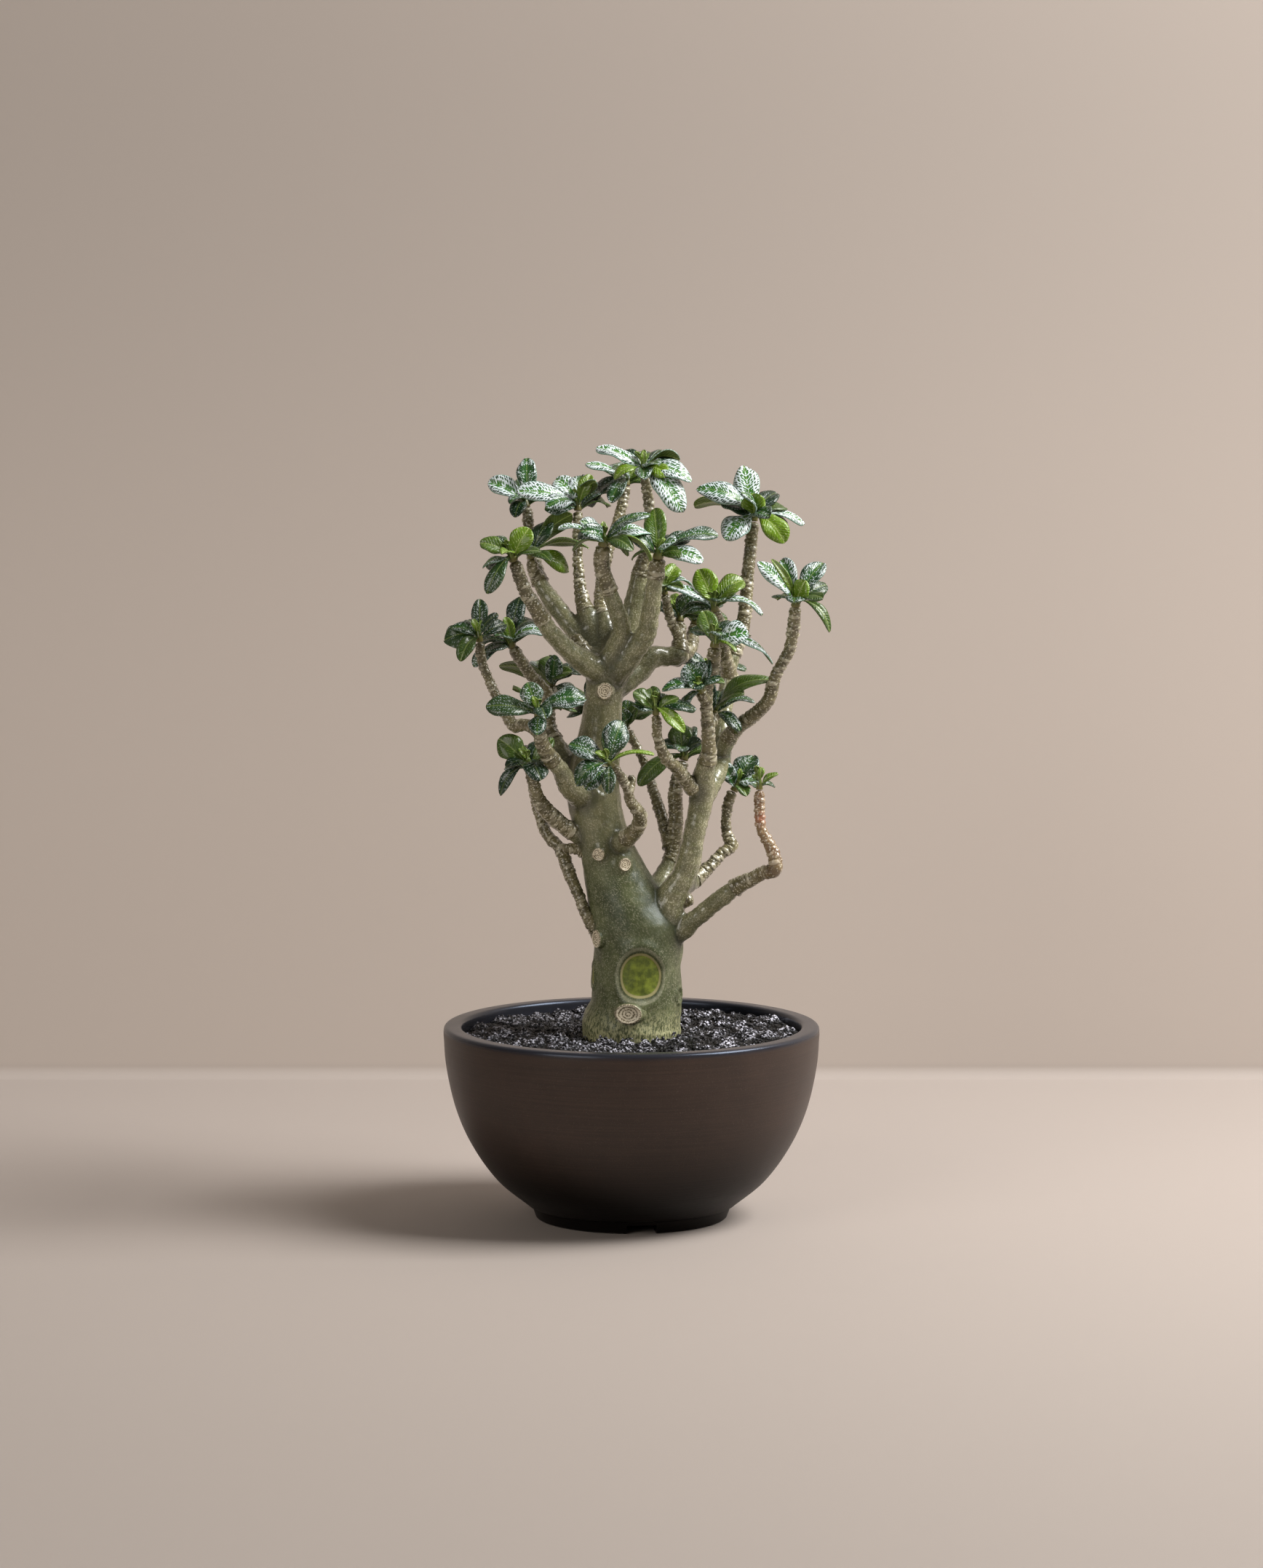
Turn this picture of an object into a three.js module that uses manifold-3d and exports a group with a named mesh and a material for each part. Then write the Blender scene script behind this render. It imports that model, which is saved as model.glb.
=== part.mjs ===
// Potted caudex plant: an old dorstenia gigas in a turned black clay bowl of lava grit.
// Millimetres, +Z up, the origin on the surface it stands on, under the middle of the bowl.
// The plant's front, where its big oval pruning scar shows, faces -Y.
import * as THREE from "three";
import { mergeVertices } from "three/addons/utils/BufferGeometryUtils.js";
import Module from "manifold-3d";

const wasm = await Module();
wasm.setup();

// Bowl
const bowlRadius = 101.5;
const bowlHeight = 105;
const bowlWall = 10;
const bowlFloor = 14;
const lipRound = 3.6;
const lipDrop = 1.6;
const footRadius = 51.5;
const footTopRadius = 54;
const footHeight = 6.5;
const footRingWidth = 11;
const footBevel = 0.8;
const footRecess = 5;
const drainRadius = 9;
const notchWidth = 16;
const notchHeight = 5;
const notchCount = 3;
const notchTurn = -84;
const turnedFacets = 36;
const wallSteps = 5;

// The wall's outside: radius, height, and the shares of an inset that are taken off the radius
// and added to the height.
const wallLine = [
  [56.5, 7.7, 1, 0.8],
  [73, 21.5, 0.75, 0.6],
  [86.5, 40.5, 0.88, 0.35],
  [95, 60, 0.96, 0.15],
  [100.3, 84, 1, 0],
  [bowlRadius, bowlHeight - 5, 1, 0],
];

// Grit
const gritHeight = 101.5;
const gritRelief = 1.8;
const gritRings = [32, 43, 54, 65, 76, 87];
const seatGap = 0.35;

// Caudex and wood
const caudexRootRadius = 26;
const caudexRootDepth = 40.5;
const rootClearance = 1.1;
const trunkFacets = 16;
const limbFacets = 7;
const twigFacets = 6;
const thickLimb = 5.5;
const trunkRing = 8;
const twigRing = 10.5;
const trunkKnobs = 0.025;
const twigKnobs = 0.1;
const largeScar = 12;
const largeScarFacets = 11;
const smallScarFacets = 6;
const scarSink = 0.6;
const scarRoot = 4;

// Leaves
const bladeThickness = 1.1;
const bladeStations = [0.3, 0.63, 0.88];
const bladeWidths = [0.54, 1, 0.76];
const bladeFullness = 1.08;
const edgeRoll = 0.13;
const edgeWave = 0.5;
const tipLength = 6.5;
const tipFacets = 5;
const tipShare = 0.86;
const leafRootHeight = 2.6;
const leafRootStep = 0.9;
const leafRootOffset = 0.45;
const archOfLength = 0.2;
const fanSpread = 58;
const fanRise = 26;
const fanLength = 23;
const fanWidth = 10;

const up = new THREE.Vector3(0, 0, 1);
const radians = THREE.MathUtils.degToRad;

// A small repeatable source of draws between -1 and 1.
function draws(seed) {
  let state = seed;
  return () => {
    state = (state * 16807) % 2147483647;
    return (state / 2147483647) * 2 - 1;
  };
}

// A closed geometry as a solid: only its places are kept, shared corners are merged.
function solid(geometry) {
  const bare = geometry.clone();
  bare.deleteAttribute("normal");
  bare.deleteAttribute("uv");
  const merged = mergeVertices(bare, 1e-3);
  const corners = merged.index.array;
  const faces = [];
  for (let i = 0; i < corners.length; i += 3) {
    const [a, b, c] = [corners[i], corners[i + 1], corners[i + 2]];
    if (a !== b && b !== c && c !== a) faces.push(a, b, c);
  }
  return new wasm.Manifold(
    new wasm.Mesh({
      numProp: 3,
      vertProperties: merged.attributes.position.array,
      triVerts: new Uint32Array(faces),
    }),
  );
}

// A fused body without the hollows that fusing sealed inside it.
function filled(body) {
  const shells = body.decompose().filter((shell) => shell.volume() > 0);
  return shells.slice(1).reduce((whole, shell) => whole.add(shell), shells[0]);
}

// A solid as a named mesh of the model.
function piece(name, body, { color, roughness }) {
  const made = body.getMesh();
  const geometry = new THREE.BufferGeometry();
  geometry.setAttribute(
    "position",
    new THREE.BufferAttribute(made.vertProperties, 3),
  );
  geometry.setIndex(new THREE.BufferAttribute(made.triVerts, 1));
  geometry.computeVertexNormals();
  const material = new THREE.MeshStandardMaterial({
    color,
    roughness,
    metalness: 0,
    flatShading: true,
  });
  const mesh = new THREE.Mesh(geometry, material);
  mesh.name = name;
  return mesh;
}

// A profile of [radius, height] points turned about the upright axis.
function turned(profile, facets) {
  const points = profile.map(([r, z]) => new THREE.Vector2(r, z));
  return new THREE.LatheGeometry(points, facets).rotateX(Math.PI / 2);
}

// The bowl's wall from the foot to the lip, offset inwards by some thickness.
function wallCurve(inset, steps) {
  const curve = new THREE.SplineCurve(
    wallLine.map(([r, z, inward, lift]) => new THREE.Vector2(r - inset * inward, z + inset * lift)),
  );
  return curve.getPoints(steps).map((p) => [p.x, p.y]);
}

// The turned bowl with its rounded lip, drain hole and notched foot ring.
function bowl() {
  const ringInner = footRadius - footRingWidth;
  const lipInner = bowlRadius - bowlWall;
  const profile = [
    [drainRadius, footRecess],
    [ringInner - footRecess / 2, footRecess],
    [ringInner, 0],
    [footRadius - footBevel, 0],
    [footRadius + footBevel / 2, footBevel],
    [footTopRadius, footHeight],
    ...wallCurve(0, wallSteps + 1),
    [bowlRadius - lipRound / 3, bowlHeight - lipDrop],
    [bowlRadius - lipRound, bowlHeight],
    [lipInner + lipRound, bowlHeight],
    [lipInner + lipRound / 4, bowlHeight - lipDrop],
    ...wallCurve(bowlWall, wallSteps).reverse(),
    [footRadius - bowlWall, bowlFloor],
    [drainRadius, bowlFloor],
    [drainRadius, footRecess],
  ];
  let body = solid(turned(profile, turnedFacets));
  for (let i = 0; i < notchCount; i++) {
    const notch = new THREE.BoxGeometry(3 * footRingWidth, notchWidth, 2 * notchHeight)
      .translate(footRadius, 0, 0)
      .rotateZ(radians(notchTurn + (i * 360) / notchCount));
    body = body.subtract(solid(notch));
  }
  return body;
}

// The grit filling: its sides follow the bowl, its top is lumpy, the caudex stands in its hole.
function grit() {
  const hole = caudexRootRadius + rootClearance;
  const inner = bowlWall + seatGap;
  const sides = wallCurve(inner, wallSteps).filter(([, z]) => z < gritHeight - 5);
  const profile = [
    [0, bowlFloor + seatGap],
    [footRadius - inner, bowlFloor + seatGap],
    ...sides,
    [bowlRadius - inner - 0.6, gritHeight - 3],
    ...gritRings.map((r) => [r, gritHeight]).reverse(),
    [hole, gritHeight - 0.4],
    [hole, gritHeight - caudexRootDepth - seatGap],
    [0, gritHeight - caudexRootDepth - seatGap],
  ];
  const geometry = turned(profile, turnedFacets);
  const spot = geometry.attributes.position;
  for (let i = 0; i < spot.count; i++) {
    const [x, y, z] = [spot.getX(i), spot.getY(i), spot.getZ(i)];
    if (z > gritHeight - 0.2) spot.setZ(i, z + lumps(x, y) * gritRelief);
  }
  return solid(geometry);
}

// Uneven lumps of grit, from about -1 to 1, level beside the caudex.
function lumps(x, y) {
  const far = THREE.MathUtils.smoothstep(Math.hypot(x, y), 28, 40);
  const coarse = Math.sin(x * 0.61 + 1.7 * Math.sin(y * 0.23)) * Math.cos(y * 0.57);
  const fine = Math.sin(x * 2.3 + y * 1.1) * Math.cos(y * 2.9 - x * 0.7);
  return far * (0.5 * coarse + 0.5 * fine);
}

// A round tapering stem through [x, y, z, radius] points, ringed with low knobs.
function stem(points, { facets, ring, knobs, seed }) {
  const path = new THREE.CatmullRomCurve3(
    points.map(([x, y, z]) => new THREE.Vector3(x, y, z)),
    false,
    "centripetal",
  );
  const steps = Math.max(points.length, Math.round(path.getLength() / ring));
  const frames = path.computeFrenetFrames(steps);
  const draw = draws(seed);
  const swell = Array.from({ length: (steps + 1) * facets }, draw);
  const geometry = new THREE.CylinderGeometry(1, 1, 1, facets, steps);
  const spot = geometry.attributes.position;
  for (let i = 0; i < spot.count; i++) {
    const [x, z] = [spot.getX(i), spot.getZ(i)];
    const at = Math.round((spot.getY(i) + 0.5) * steps);
    const share = path.getUtoTmapping(at / steps) * (points.length - 1);
    const before = Math.min(Math.floor(share), points.length - 2);
    const radius = THREE.MathUtils.lerp(
      points[before][3],
      points[before + 1][3],
      share - before,
    );
    const side = Math.round((Math.atan2(z, x) / Math.PI / 2 + 1) * facets) % facets;
    const ends = at === 0 || at === steps ? 0 : 1;
    const ridge = (at % 2 ? 0.6 : -0.6) + 0.6 * swell[at * facets + side];
    const reach = radius * (1 + ends * knobs * ridge);
    const centre = path.getPointAt(at / steps);
    spot.setXYZ(
      i,
      centre.x + reach * (x * frames.normals[at].x - z * frames.binormals[at].x),
      centre.y + reach * (x * frames.normals[at].y - z * frames.binormals[at].y),
      centre.z + reach * (x * frames.normals[at].z - z * frames.binormals[at].z),
    );
  }
  return solid(geometry);
}

// The caudex and trunk: straight in the grit, flared at its surface, forked at the top.
const trunkLine = [
  [0, 0, gritHeight - caudexRootDepth, caudexRootRadius],
  [0, 0, gritHeight - caudexRootDepth / 2, caudexRootRadius],
  [0, 0, gritHeight - 1, caudexRootRadius],
  [0, 0, gritHeight + 3, caudexRootRadius + 1],
  [2, 0, 112, 25],
  [3, 0, 122, 24.4],
  [3, 0, 138, 23.6],
  [4, 0, 152, 24],
  [-1, 0, 164, 22],
  [-5, 0, 176, 19.2],
  [-9, 0, 187, 17],
  [-13, 0, 199, 14.8],
  [-17, 0, 213, 14],
  [-20, 1, 227, 14.6],
  [-20, 2, 243, 13.6],
  [-17, 2, 262, 11.8],
  [-15, 1, 280, 10.2],
  [-14, 0, 291, 10.4],
  [-14, 0, 300, 11.2],
  [-13, 0, 307, 8],
];

// Pruning scars and cut stubs on the trunk: [angle about it, height, width, length, stand].
const scars = [
  [-85, 131, 22, 27, 1.7],
  [-103, 111, 14, 10, 4.2],
  [-160, 153, 9, 10, 2],
  [-168, 133, 8, 14, 1.2],
  [-20, 122, 8, 9, 1.2],
  [-113, 197, 6.4, 6.4, 3.2],
  [-68, 192, 6.8, 6.8, 3.2],
  [-80, 214, 6, 6, 1],
  [-62, 235, 7, 14, 1.1],
  [-90, 287, 9, 9, 1.4],
  [70, 140, 17, 20, 1.6],
  [120, 178, 8, 8, 3],
  [55, 205, 7, 9, 2],
  [110, 250, 7, 8, 1.4],
];

// Every limb and twig: its route in [x, y, z, radius], and for a leafy shoot the leaves at its end.
// A leaf is [x, y, z] of its tip from the shoot's tip, its width, and how far its face turns to
// the front in degrees; behind counts the leaves that fill the back of the rosette.
const growth = [
  {
    name: "right_limb",
    route: [
      [10, 0, 148, 13],
      [18, -5, 166, 10],
      [24, -8, 180, 7.8],
      [28, -9, 187, 6.9],
      [31, -10, 196, 6.5],
      [33, -11, 208, 6],
      [36, -11, 220, 6.3],
      [38, -11, 232, 7],
      [39, -15, 243, 6.2],
      [41, -20, 254, 4],
      [41, -23, 264, 3.5],
      [40, -26, 277, 3.1],
      [40, -29, 290, 3.2],
      [43, -31, 300, 3.6],
      [44, -33, 312, 3.4],
    ],
    leaves: [
      [-6, 6, 19, 10, 0],
      [18, -6, 8, 13, 50],
      [31, 4, -9, 9, 20],
      [11, -12, -1, 7, 10],
      [-13, 9, 8, 9, 0],
    ],
    behind: 1,
  },
  {
    name: "right_spur",
    route: [
      [40, -24, 270, 3],
      [43, -17, 271, 2.8],
      [44, -11, 274, 2.7],
    ],
    leaves: [
      [16, -10, 13, 10, 20],
      [31, 0, 19, 10, 20],
      [22, 10, 6, 9, 20],
      [14, -7, -8, 7, 30],
    ],
    behind: 1,
  },
  {
    name: "right_inner_spur",
    route: [
      [40, -28, 283, 3],
      [38, -32, 286, 2.8],
      [37, -36, 289, 2.6],
    ],
    leaves: [
      [-7, -2, 15, 14, 30],
      [-21, -8, 1, 9, 30],
      [-5, -13, 3, 9, 20],
      [10, -8, 8, 9, 20],
    ],
    behind: 0,
  },
  {
    name: "right_back_limb",
    route: [
      [38, -4, 229, 7],
      [45, 6, 240, 6],
      [49, 10, 249, 5],
      [49, 15, 261, 4.6],
      [50, 19, 270, 4.6],
      [51, 23, 280, 4.8],
      [54, 29, 301, 4.6],
      [58, 32, 310, 4],
      [61, 35, 322, 3.8],
      [63, 39, 345, 3.4],
      [66, 42, 374, 3.1],
    ],
    leaves: [
      [-5, 8, 30, 13, 0],
      [0, -7, 16, 12, 0],
      [-31, -4, 18, 12, 45],
      [-32, 8, 8, 12, -30],
      [-15, -15, -9, 14, 30],
      [17, -8, -11, 12, 50],
      [28, 8, -2, 9, 15],
    ],
    behind: 2,
  },
  {
    name: "far_right",
    route: [
      [49, 8, 253, 4.8],
      [54, 2, 263, 4.2],
      [60, -3, 269, 3.8],
      [67, -8, 275, 3.7],
      [73, -12, 282, 3.6],
      [77, -16, 296, 3],
      [84, -20, 310, 3],
      [86, -23, 321, 3.2],
      [87, -26, 333, 3.2],
    ],
    leaves: [
      [-20, 4, 24, 9, 0],
      [-13, -5, 26, 4, 0],
      [-7, 8, 25, 9, 0],
      [5, -9, 15, 10, 0],
      [15, 8, 23, 10, 0],
      [18, -5, -13, 6, 20],
    ],
    behind: 1,
  },
  {
    name: "right_middle",
    route: [
      [53, 26, 291, 4.2],
      [50, 15, 306, 3.2],
      [48, 6, 319, 3],
      [45, 0, 329, 2.8],
    ],
    leaves: [
      [-9, 4, 22, 12, 0],
      [15, 4, 16, 13, 0],
      [25, -5, -2, 8, 20],
      [-26, 2, 13, 10, 20],
      [3, -13, 6, 8, 20],
    ],
    behind: 1,
  },
  {
    name: "right_small",
    route: [
      [30, -6, 182, 5],
      [37, 2, 186, 4],
      [43, 6, 191, 3.2],
      [48, 10, 196, 3],
      [54, 13, 201, 3.5],
      [52, 14, 206, 2.9],
      [51, 14, 214, 2.5],
      [53, 13, 226, 2.9],
      [55, 13, 230, 2.8],
    ],
    leaves: [
      [-9, 11, 16, 7, 0],
      [11, 5, 19, 12, 10],
      [13, -8, 6, 10, 30],
      [7, -12, -1, 7, 30],
    ],
    behind: 1,
  },
  {
    name: "low_right",
    route: [
      [14, -3, 150, 9],
      [24, -6, 155, 6.4],
      [34, -11, 164, 5.2],
      [42, -15, 171, 5],
      [48, -19, 176, 4.9],
      [56, -24, 183, 4.4],
      [64, -29, 188, 3.8],
      [71, -33, 192, 3.5],
      [76, -37, 194, 4],
      [76, -37, 201, 3.5],
      [73, -36, 208, 3.1],
      [69, -35, 216, 2.6],
      [68, -33, 230, 2.8],
      [68, -33, 236, 2.3],
    ],
    leaves: [
      [10, 0, 9, 4, 20],
      [-3, 4, 8, 3.6, 0],
    ],
    behind: 0,
  },
  {
    name: "inner_right",
    route: [
      [12, 8, 172, 9],
      [17, 17, 183, 5.4],
      [22, 22, 194, 4.3],
      [24, 24, 212, 4],
      [24, 25, 231, 3.6],
      [28, 28, 245, 3.2],
    ],
    leaves: [
      [-2, 6, 20, 12, 0],
      [10, -6, 11, 9, 0],
      [5, 13, 17, 8, 0],
      [-24, -14, -12, 11, 30],
      [-13, 6, 9, 9, 0],
    ],
    behind: 0,
  },
  {
    name: "inner_back",
    route: [
      [21, 22, 199, 3.8],
      [18, 29, 209, 3.2],
      [15, 34, 219, 3.2],
      [10, 39, 233, 2.5],
      [5, 42, 247, 2.3],
      [-2, 43, 260, 2.4],
    ],
    leaves: [
      [0, 7, 16, 10, 0],
      [15, -4, 11, 9, 30],
      [-12, 4, 7, 9, 20],
    ],
    behind: 1,
  },
  {
    name: "inner_front",
    route: [
      [35, -13, 233, 5],
      [29, -19, 240, 3.8],
      [24, -27, 247, 3.3],
      [18, -34, 254, 3],
      [14, -40, 265, 2.5],
      [13, -43, 277, 2.4],
    ],
    leaves: [
      [-12, -3, 13, 9, 20],
      [21, -3, 3, 10, 40],
      [15, -10, -8, 7, 60],
      [-3, 7, 14, 8, 0],
      [7, 8, 9, 8, 0],
    ],
    behind: 0,
  },
  {
    name: "trunk_front",
    route: [
      [-9, -7, 203, 6],
      [-1, -20, 210, 4.2],
      [4, -28, 217, 3.8],
      [4, -35, 224, 3.5],
      [-1, -41, 232, 2.7],
      [-2, -46, 238, 2.5],
      [-6, -51, 246, 2.5],
      [-10, -55, 251, 2.5],
    ],
    leaves: [
      [-23, 0, 12, 12, 50],
      [5, 3, 24, 13, 0],
      [-19, -7, -9, 11, 40],
      [-2, -12, -13, 7, 30],
      [22, -4, 7, 4, 20],
    ],
    behind: 0,
  },
  {
    name: "trunk_front_stub",
    route: [
      [-2, -44, 236, 2.2],
      [0, -42, 241, 1.8],
      [0, -41, 245, 2],
    ],
  },
  {
    name: "left_low",
    route: [
      [-26, -3, 207, 5.4],
      [-35, -8, 213, 4.2],
      [-43, -12, 220, 4.3],
      [-48, -15, 226, 4],
      [-51, -17, 233, 3.4],
      [-54, -20, 246, 3],
    ],
    leaves: [
      [-17, 2, 16, 13, 60],
      [5, 7, 13, 8, 0],
      [6, -18, -4, 12, 30],
      [-13, -8, 2, 7, 30],
      [-16, -4, -14, 7, 30],
    ],
    behind: 1,
  },
  {
    name: "left_thin",
    route: [
      [-16, -5, 154, 5],
      [-24, -6, 165, 3.1],
      [-28, -4, 175, 3],
      [-32, -1, 184, 3.3],
      [-35, 3, 191, 3.4],
      [-38, 8, 199, 3.4],
      [-45, 13, 206, 3.1],
      [-50, 18, 217, 2.7],
      [-53, 20, 230, 2.5],
      [-54, 19, 240, 2.4],
    ],
    leaves: [
      [-13, 6, 11, 8, 20],
      [7, 8, 12, 8, 0],
      [-2, 13, 13, 8, 0],
    ],
    behind: 0,
  },
  {
    name: "left_cross",
    route: [
      [-22, -2, 198, 4],
      [-30, -3, 201, 2.9],
      [-37, -4, 201, 2.6],
    ],
  },
  {
    name: "left_limb",
    route: [
      [-20, 1, 226, 10],
      [-29, 5, 234, 9],
      [-35, 10, 243, 8],
      [-40, 14, 253, 6.2],
      [-44, 18, 264, 3.4],
      [-45, 22, 277, 2.9],
      [-47, 23, 285, 3],
      [-54, 22, 292, 3.1],
      [-60, 19, 301, 3.1],
      [-64, 16, 308, 3],
    ],
    leaves: [
      [-21, -7, -10, 9, 30],
      [18, 1, 8, 9, 30],
      [4, 7, 27, 9, 0],
      [-9, -13, 7, 10, 20],
      [-4, -7, 17, 6, 0],
    ],
    behind: 2,
  },
  {
    name: "left_limb_back",
    route: [
      [-46, 22, 279, 2.8],
      [-43, 30, 281, 2.6],
      [-43, 35, 284, 2.5],
    ],
    leaves: [
      [-29, 4, 12, 12, -40],
      [-2, 8, 17, 12, 0],
      [16, 0, 8, 8, 10],
    ],
    behind: 2,
  },
  {
    name: "left_front",
    route: [
      [-24, -4, 229, 9],
      [-33, -16, 236, 5.8],
      [-38, -24, 246, 4.8],
      [-44, -30, 254, 4.2],
      [-48, -37, 264, 3.6],
      [-49, -42, 276, 3.1],
    ],
    leaves: [
      [-28, -4, 6, 12, 55],
      [-6, -5, 19, 11, 20],
      [25, -4, 10, 13, 45],
      [-14, 8, 15, 10, -20],
      [4, -18, 1, 9, 20],
    ],
    behind: 0,
  },
  {
    name: "far_left",
    route: [
      [-48, -36, 266, 3.4],
      [-54, -30, 270, 2.9],
      [-58, -24, 270, 3],
      [-62, -20, 269, 3.2],
      [-66, -16, 273, 3],
      [-70, -12, 280, 2.5],
      [-75, -10, 290, 2.3],
      [-80, -11, 303, 2.5],
      [-81, -12, 313, 2.6],
    ],
    leaves: [
      [0, 4, 23, 8, 0],
      [10, -9, 16, 6, 0],
      [-19, 1, 1, 12, 55],
      [-10, -13, -9, 8, 30],
      [-11, 11, 9, 8, 20],
    ],
    behind: 1,
  },
  {
    name: "upper_left_front",
    route: [
      [-13, -3, 296, 9],
      [-24, -10, 302, 6.6],
      [-32, -16, 308, 5.6],
      [-43, -24, 320, 4.8],
      [-49, -29, 330, 4.2],
      [-56, -33, 342, 3.5],
      [-62, -37, 358, 3.2],
    ],
    leaves: [
      [8, -3, 18, 11, 30],
      [-12, 8, 11, 9, 50],
      [-18, -1, 10, 9, 50],
      [-6, -13, 5, 7, 30],
      [-14, -13, -16, 9, 45],
    ],
    behind: 1,
  },
  {
    name: "upper_left_back",
    route: [
      [-15, 4, 299, 8.5],
      [-27, 14, 313, 6],
      [-34, 20, 321, 5.4],
      [-45, 30, 335, 4.8],
      [-50, 34, 343, 4.4],
      [-54, 41, 359, 3.2],
      [-57, 48, 381, 2.7],
    ],
    leaves: [
      [-21, 4, 14, 11, 40],
      [0, 6, 27, 10, 0],
      [-4, 12, 15, 9, 0],
      [-6, -15, -4, 8, 10],
      [12, 7, 12, 9, 0],
    ],
    behind: 1,
  },
  {
    name: "upper_left_side",
    route: [
      [-50, 34, 342, 3.4],
      [-53, 30, 349, 3],
      [-54, 28, 355, 2.8],
    ],
    leaves: [
      [22, 2, 24, 12, -40],
      [31, -4, 6, 9, -20],
      [20, 6, -7, 9, 60],
      [-14, -6, 7, 8, 20],
    ],
    behind: 0,
  },
  {
    name: "upper_left_stub",
    route: [
      [-20, 2, 301, 5],
      [-27, 1, 309, 4.2],
      [-31, 0, 316, 3.2],
    ],
  },
  {
    name: "upper_back",
    route: [
      [-14, 4, 300, 9],
      [-21, 13, 312, 7.2],
      [-23, 18, 323, 5.8],
      [-26, 22, 331, 4],
      [-28, 27, 342, 3],
      [-29, 31, 356, 2.6],
      [-29, 35, 380, 2.7],
    ],
    leaves: [
      [-33, -6, 11, 12, 45],
      [-17, -13, 3, 10, 35],
      [-12, 9, 17, 12, 0],
      [2, 9, 19, 12, 0],
      [10, -10, 17, 8, -30],
      [7, 0, 20, 7, 0],
    ],
    behind: 0,
  },
  {
    name: "upper_middle_front",
    route: [
      [-12, -4, 300, 8],
      [-5, -13, 319, 5.2],
      [-8, -19, 331, 4.6],
      [-14, -28, 348, 4.2],
      [-16, -32, 358, 4.1],
      [-15, -35, 366, 3.6],
    ],
    leaves: [
      [-24, 4, 9, 9, 10],
      [-12, -9, 14, 9, 35],
      [25, -4, 17, 9, 10],
      [25, 7, 6, 11, 30],
      [25, -11, -7, 11, -20],
      [13, 12, -6, 8, 10],
      [-16, 11, -3, 9, 10],
    ],
    behind: 0,
  },
  {
    name: "upper_middle_back",
    route: [
      [-13, 6, 302, 8],
      [-14, 15, 319, 6],
      [-16, 21, 328, 4.2],
      [-16, 28, 342, 3.3],
      [-12, 36, 361, 3],
      [-6, 43, 379, 2.8],
      [-3, 47, 393, 2.7],
    ],
    leaves: [
      [-22, -3, 12, 9, 10],
      [-20, -1, -11, 13, 30],
      [-8, -17, -8, 9, 25],
      [8, 6, 13, 9, 0],
    ],
    behind: 2,
  },
  {
    name: "crown_top",
    route: [
      [-10, 2, 302, 9],
      [-1, 3, 322, 6.6],
      [2, 2, 335, 5.6],
      [5, 1, 350, 4.4],
      [9, 0, 364, 3.3],
      [10, -1, 375, 2.8],
      [9, -3, 388, 2.7],
      [7, -5, 402, 2.6],
    ],
    leaves: [
      [-26, 5, 14, 12, 30],
      [-7, 13, 11, 9, 0],
      [19, 4, 8, 9, -30],
      [25, -10, -3, 12, 40],
      [13, -13, 0, 9, 50],
      [20, -15, -19, 14, 45],
      [-16, -9, -2, 9, 10],
    ],
    behind: 1,
  },
  {
    name: "upper_right_front",
    route: [
      [-12, -2, 294, 9],
      [0, -11, 307, 6.4],
      [8, -17, 319, 5.4],
      [10, -21, 329, 5],
      [13, -26, 350, 4.4],
      [14, -29, 359, 3.8],
    ],
    leaves: [
      [-2, 8, 26, 11, 0],
      [32, 2, 12, 11, 20],
      [9, -13, 10, 10, 40],
      [24, -8, -1, 10, 45],
      [-14, 5, -1, 8, 10],
    ],
    behind: 1,
  },
  {
    name: "right_head",
    route: [
      [-10, 3, 288, 8],
      [3, 9, 295, 6.5],
      [11, 12, 303, 6.4],
      [18, 14, 303, 5.4],
      [25, 16, 304, 5.6],
      [26, 18, 311, 3.8],
      [26, 21, 321, 3],
    ],
    leaves: [
      [-15, 4, 8, 9, 20],
      [7, -7, 15, 9, 0],
      [17, 5, 5, 9, 20],
      [-6, 12, 13, 9, 0],
    ],
    behind: 0,
  },
  {
    name: "right_head_inner",
    route: [
      [26, 18, 313, 2.8],
      [21, 14, 323, 2.4],
      [18, 9, 337, 2.3],
    ],
    leaves: [
      [-6, -13, 6, 9, 20],
      [6, 6, 15, 9, 0],
      [14, 9, 4, 10, 20],
    ],
    behind: 1,
  },
  {
    name: "right_head_outer",
    route: [
      [24, 17, 302, 4.4],
      [31, 29, 305, 3.8],
      [33, 38, 311, 3.4],
      [34, 44, 317, 3],
    ],
    leaves: [
      [14, -5, 11, 9, 10],
      [-11, -2, 13, 9, 0],
      [-2, 11, 17, 9, 0],
    ],
    behind: 2,
  },
  {
    name: "right_limb_stub",
    route: [
      [25, -7, 172, 4],
      [33, -9, 175, 2.9],
    ],
  },
  {
    name: "low_back",
    route: [
      [-10, 8, 196, 7],
      [-14, 22, 206, 4.8],
      [-18, 38, 222, 4],
      [-19, 52, 243, 3.4],
      [-20, 62, 268, 3],
    ],
    leaves: [
      [-18, 2, 12, 10, 20],
      [14, -3, 13, 10, 20],
      [-3, -9, 20, 10, 0],
    ],
    behind: 4,
  },
  {
    name: "middle_back",
    route: [
      [40, 4, 234, 5.4],
      [42, 22, 240, 4.4],
      [44, 42, 252, 3.8],
      [44, 56, 270, 3.2],
      [43, 62, 286, 2.9],
    ],
    leaves: [
      [-17, -3, 11, 10, 20],
      [13, 1, 15, 10, 20],
    ],
    behind: 4,
  },
];

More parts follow.
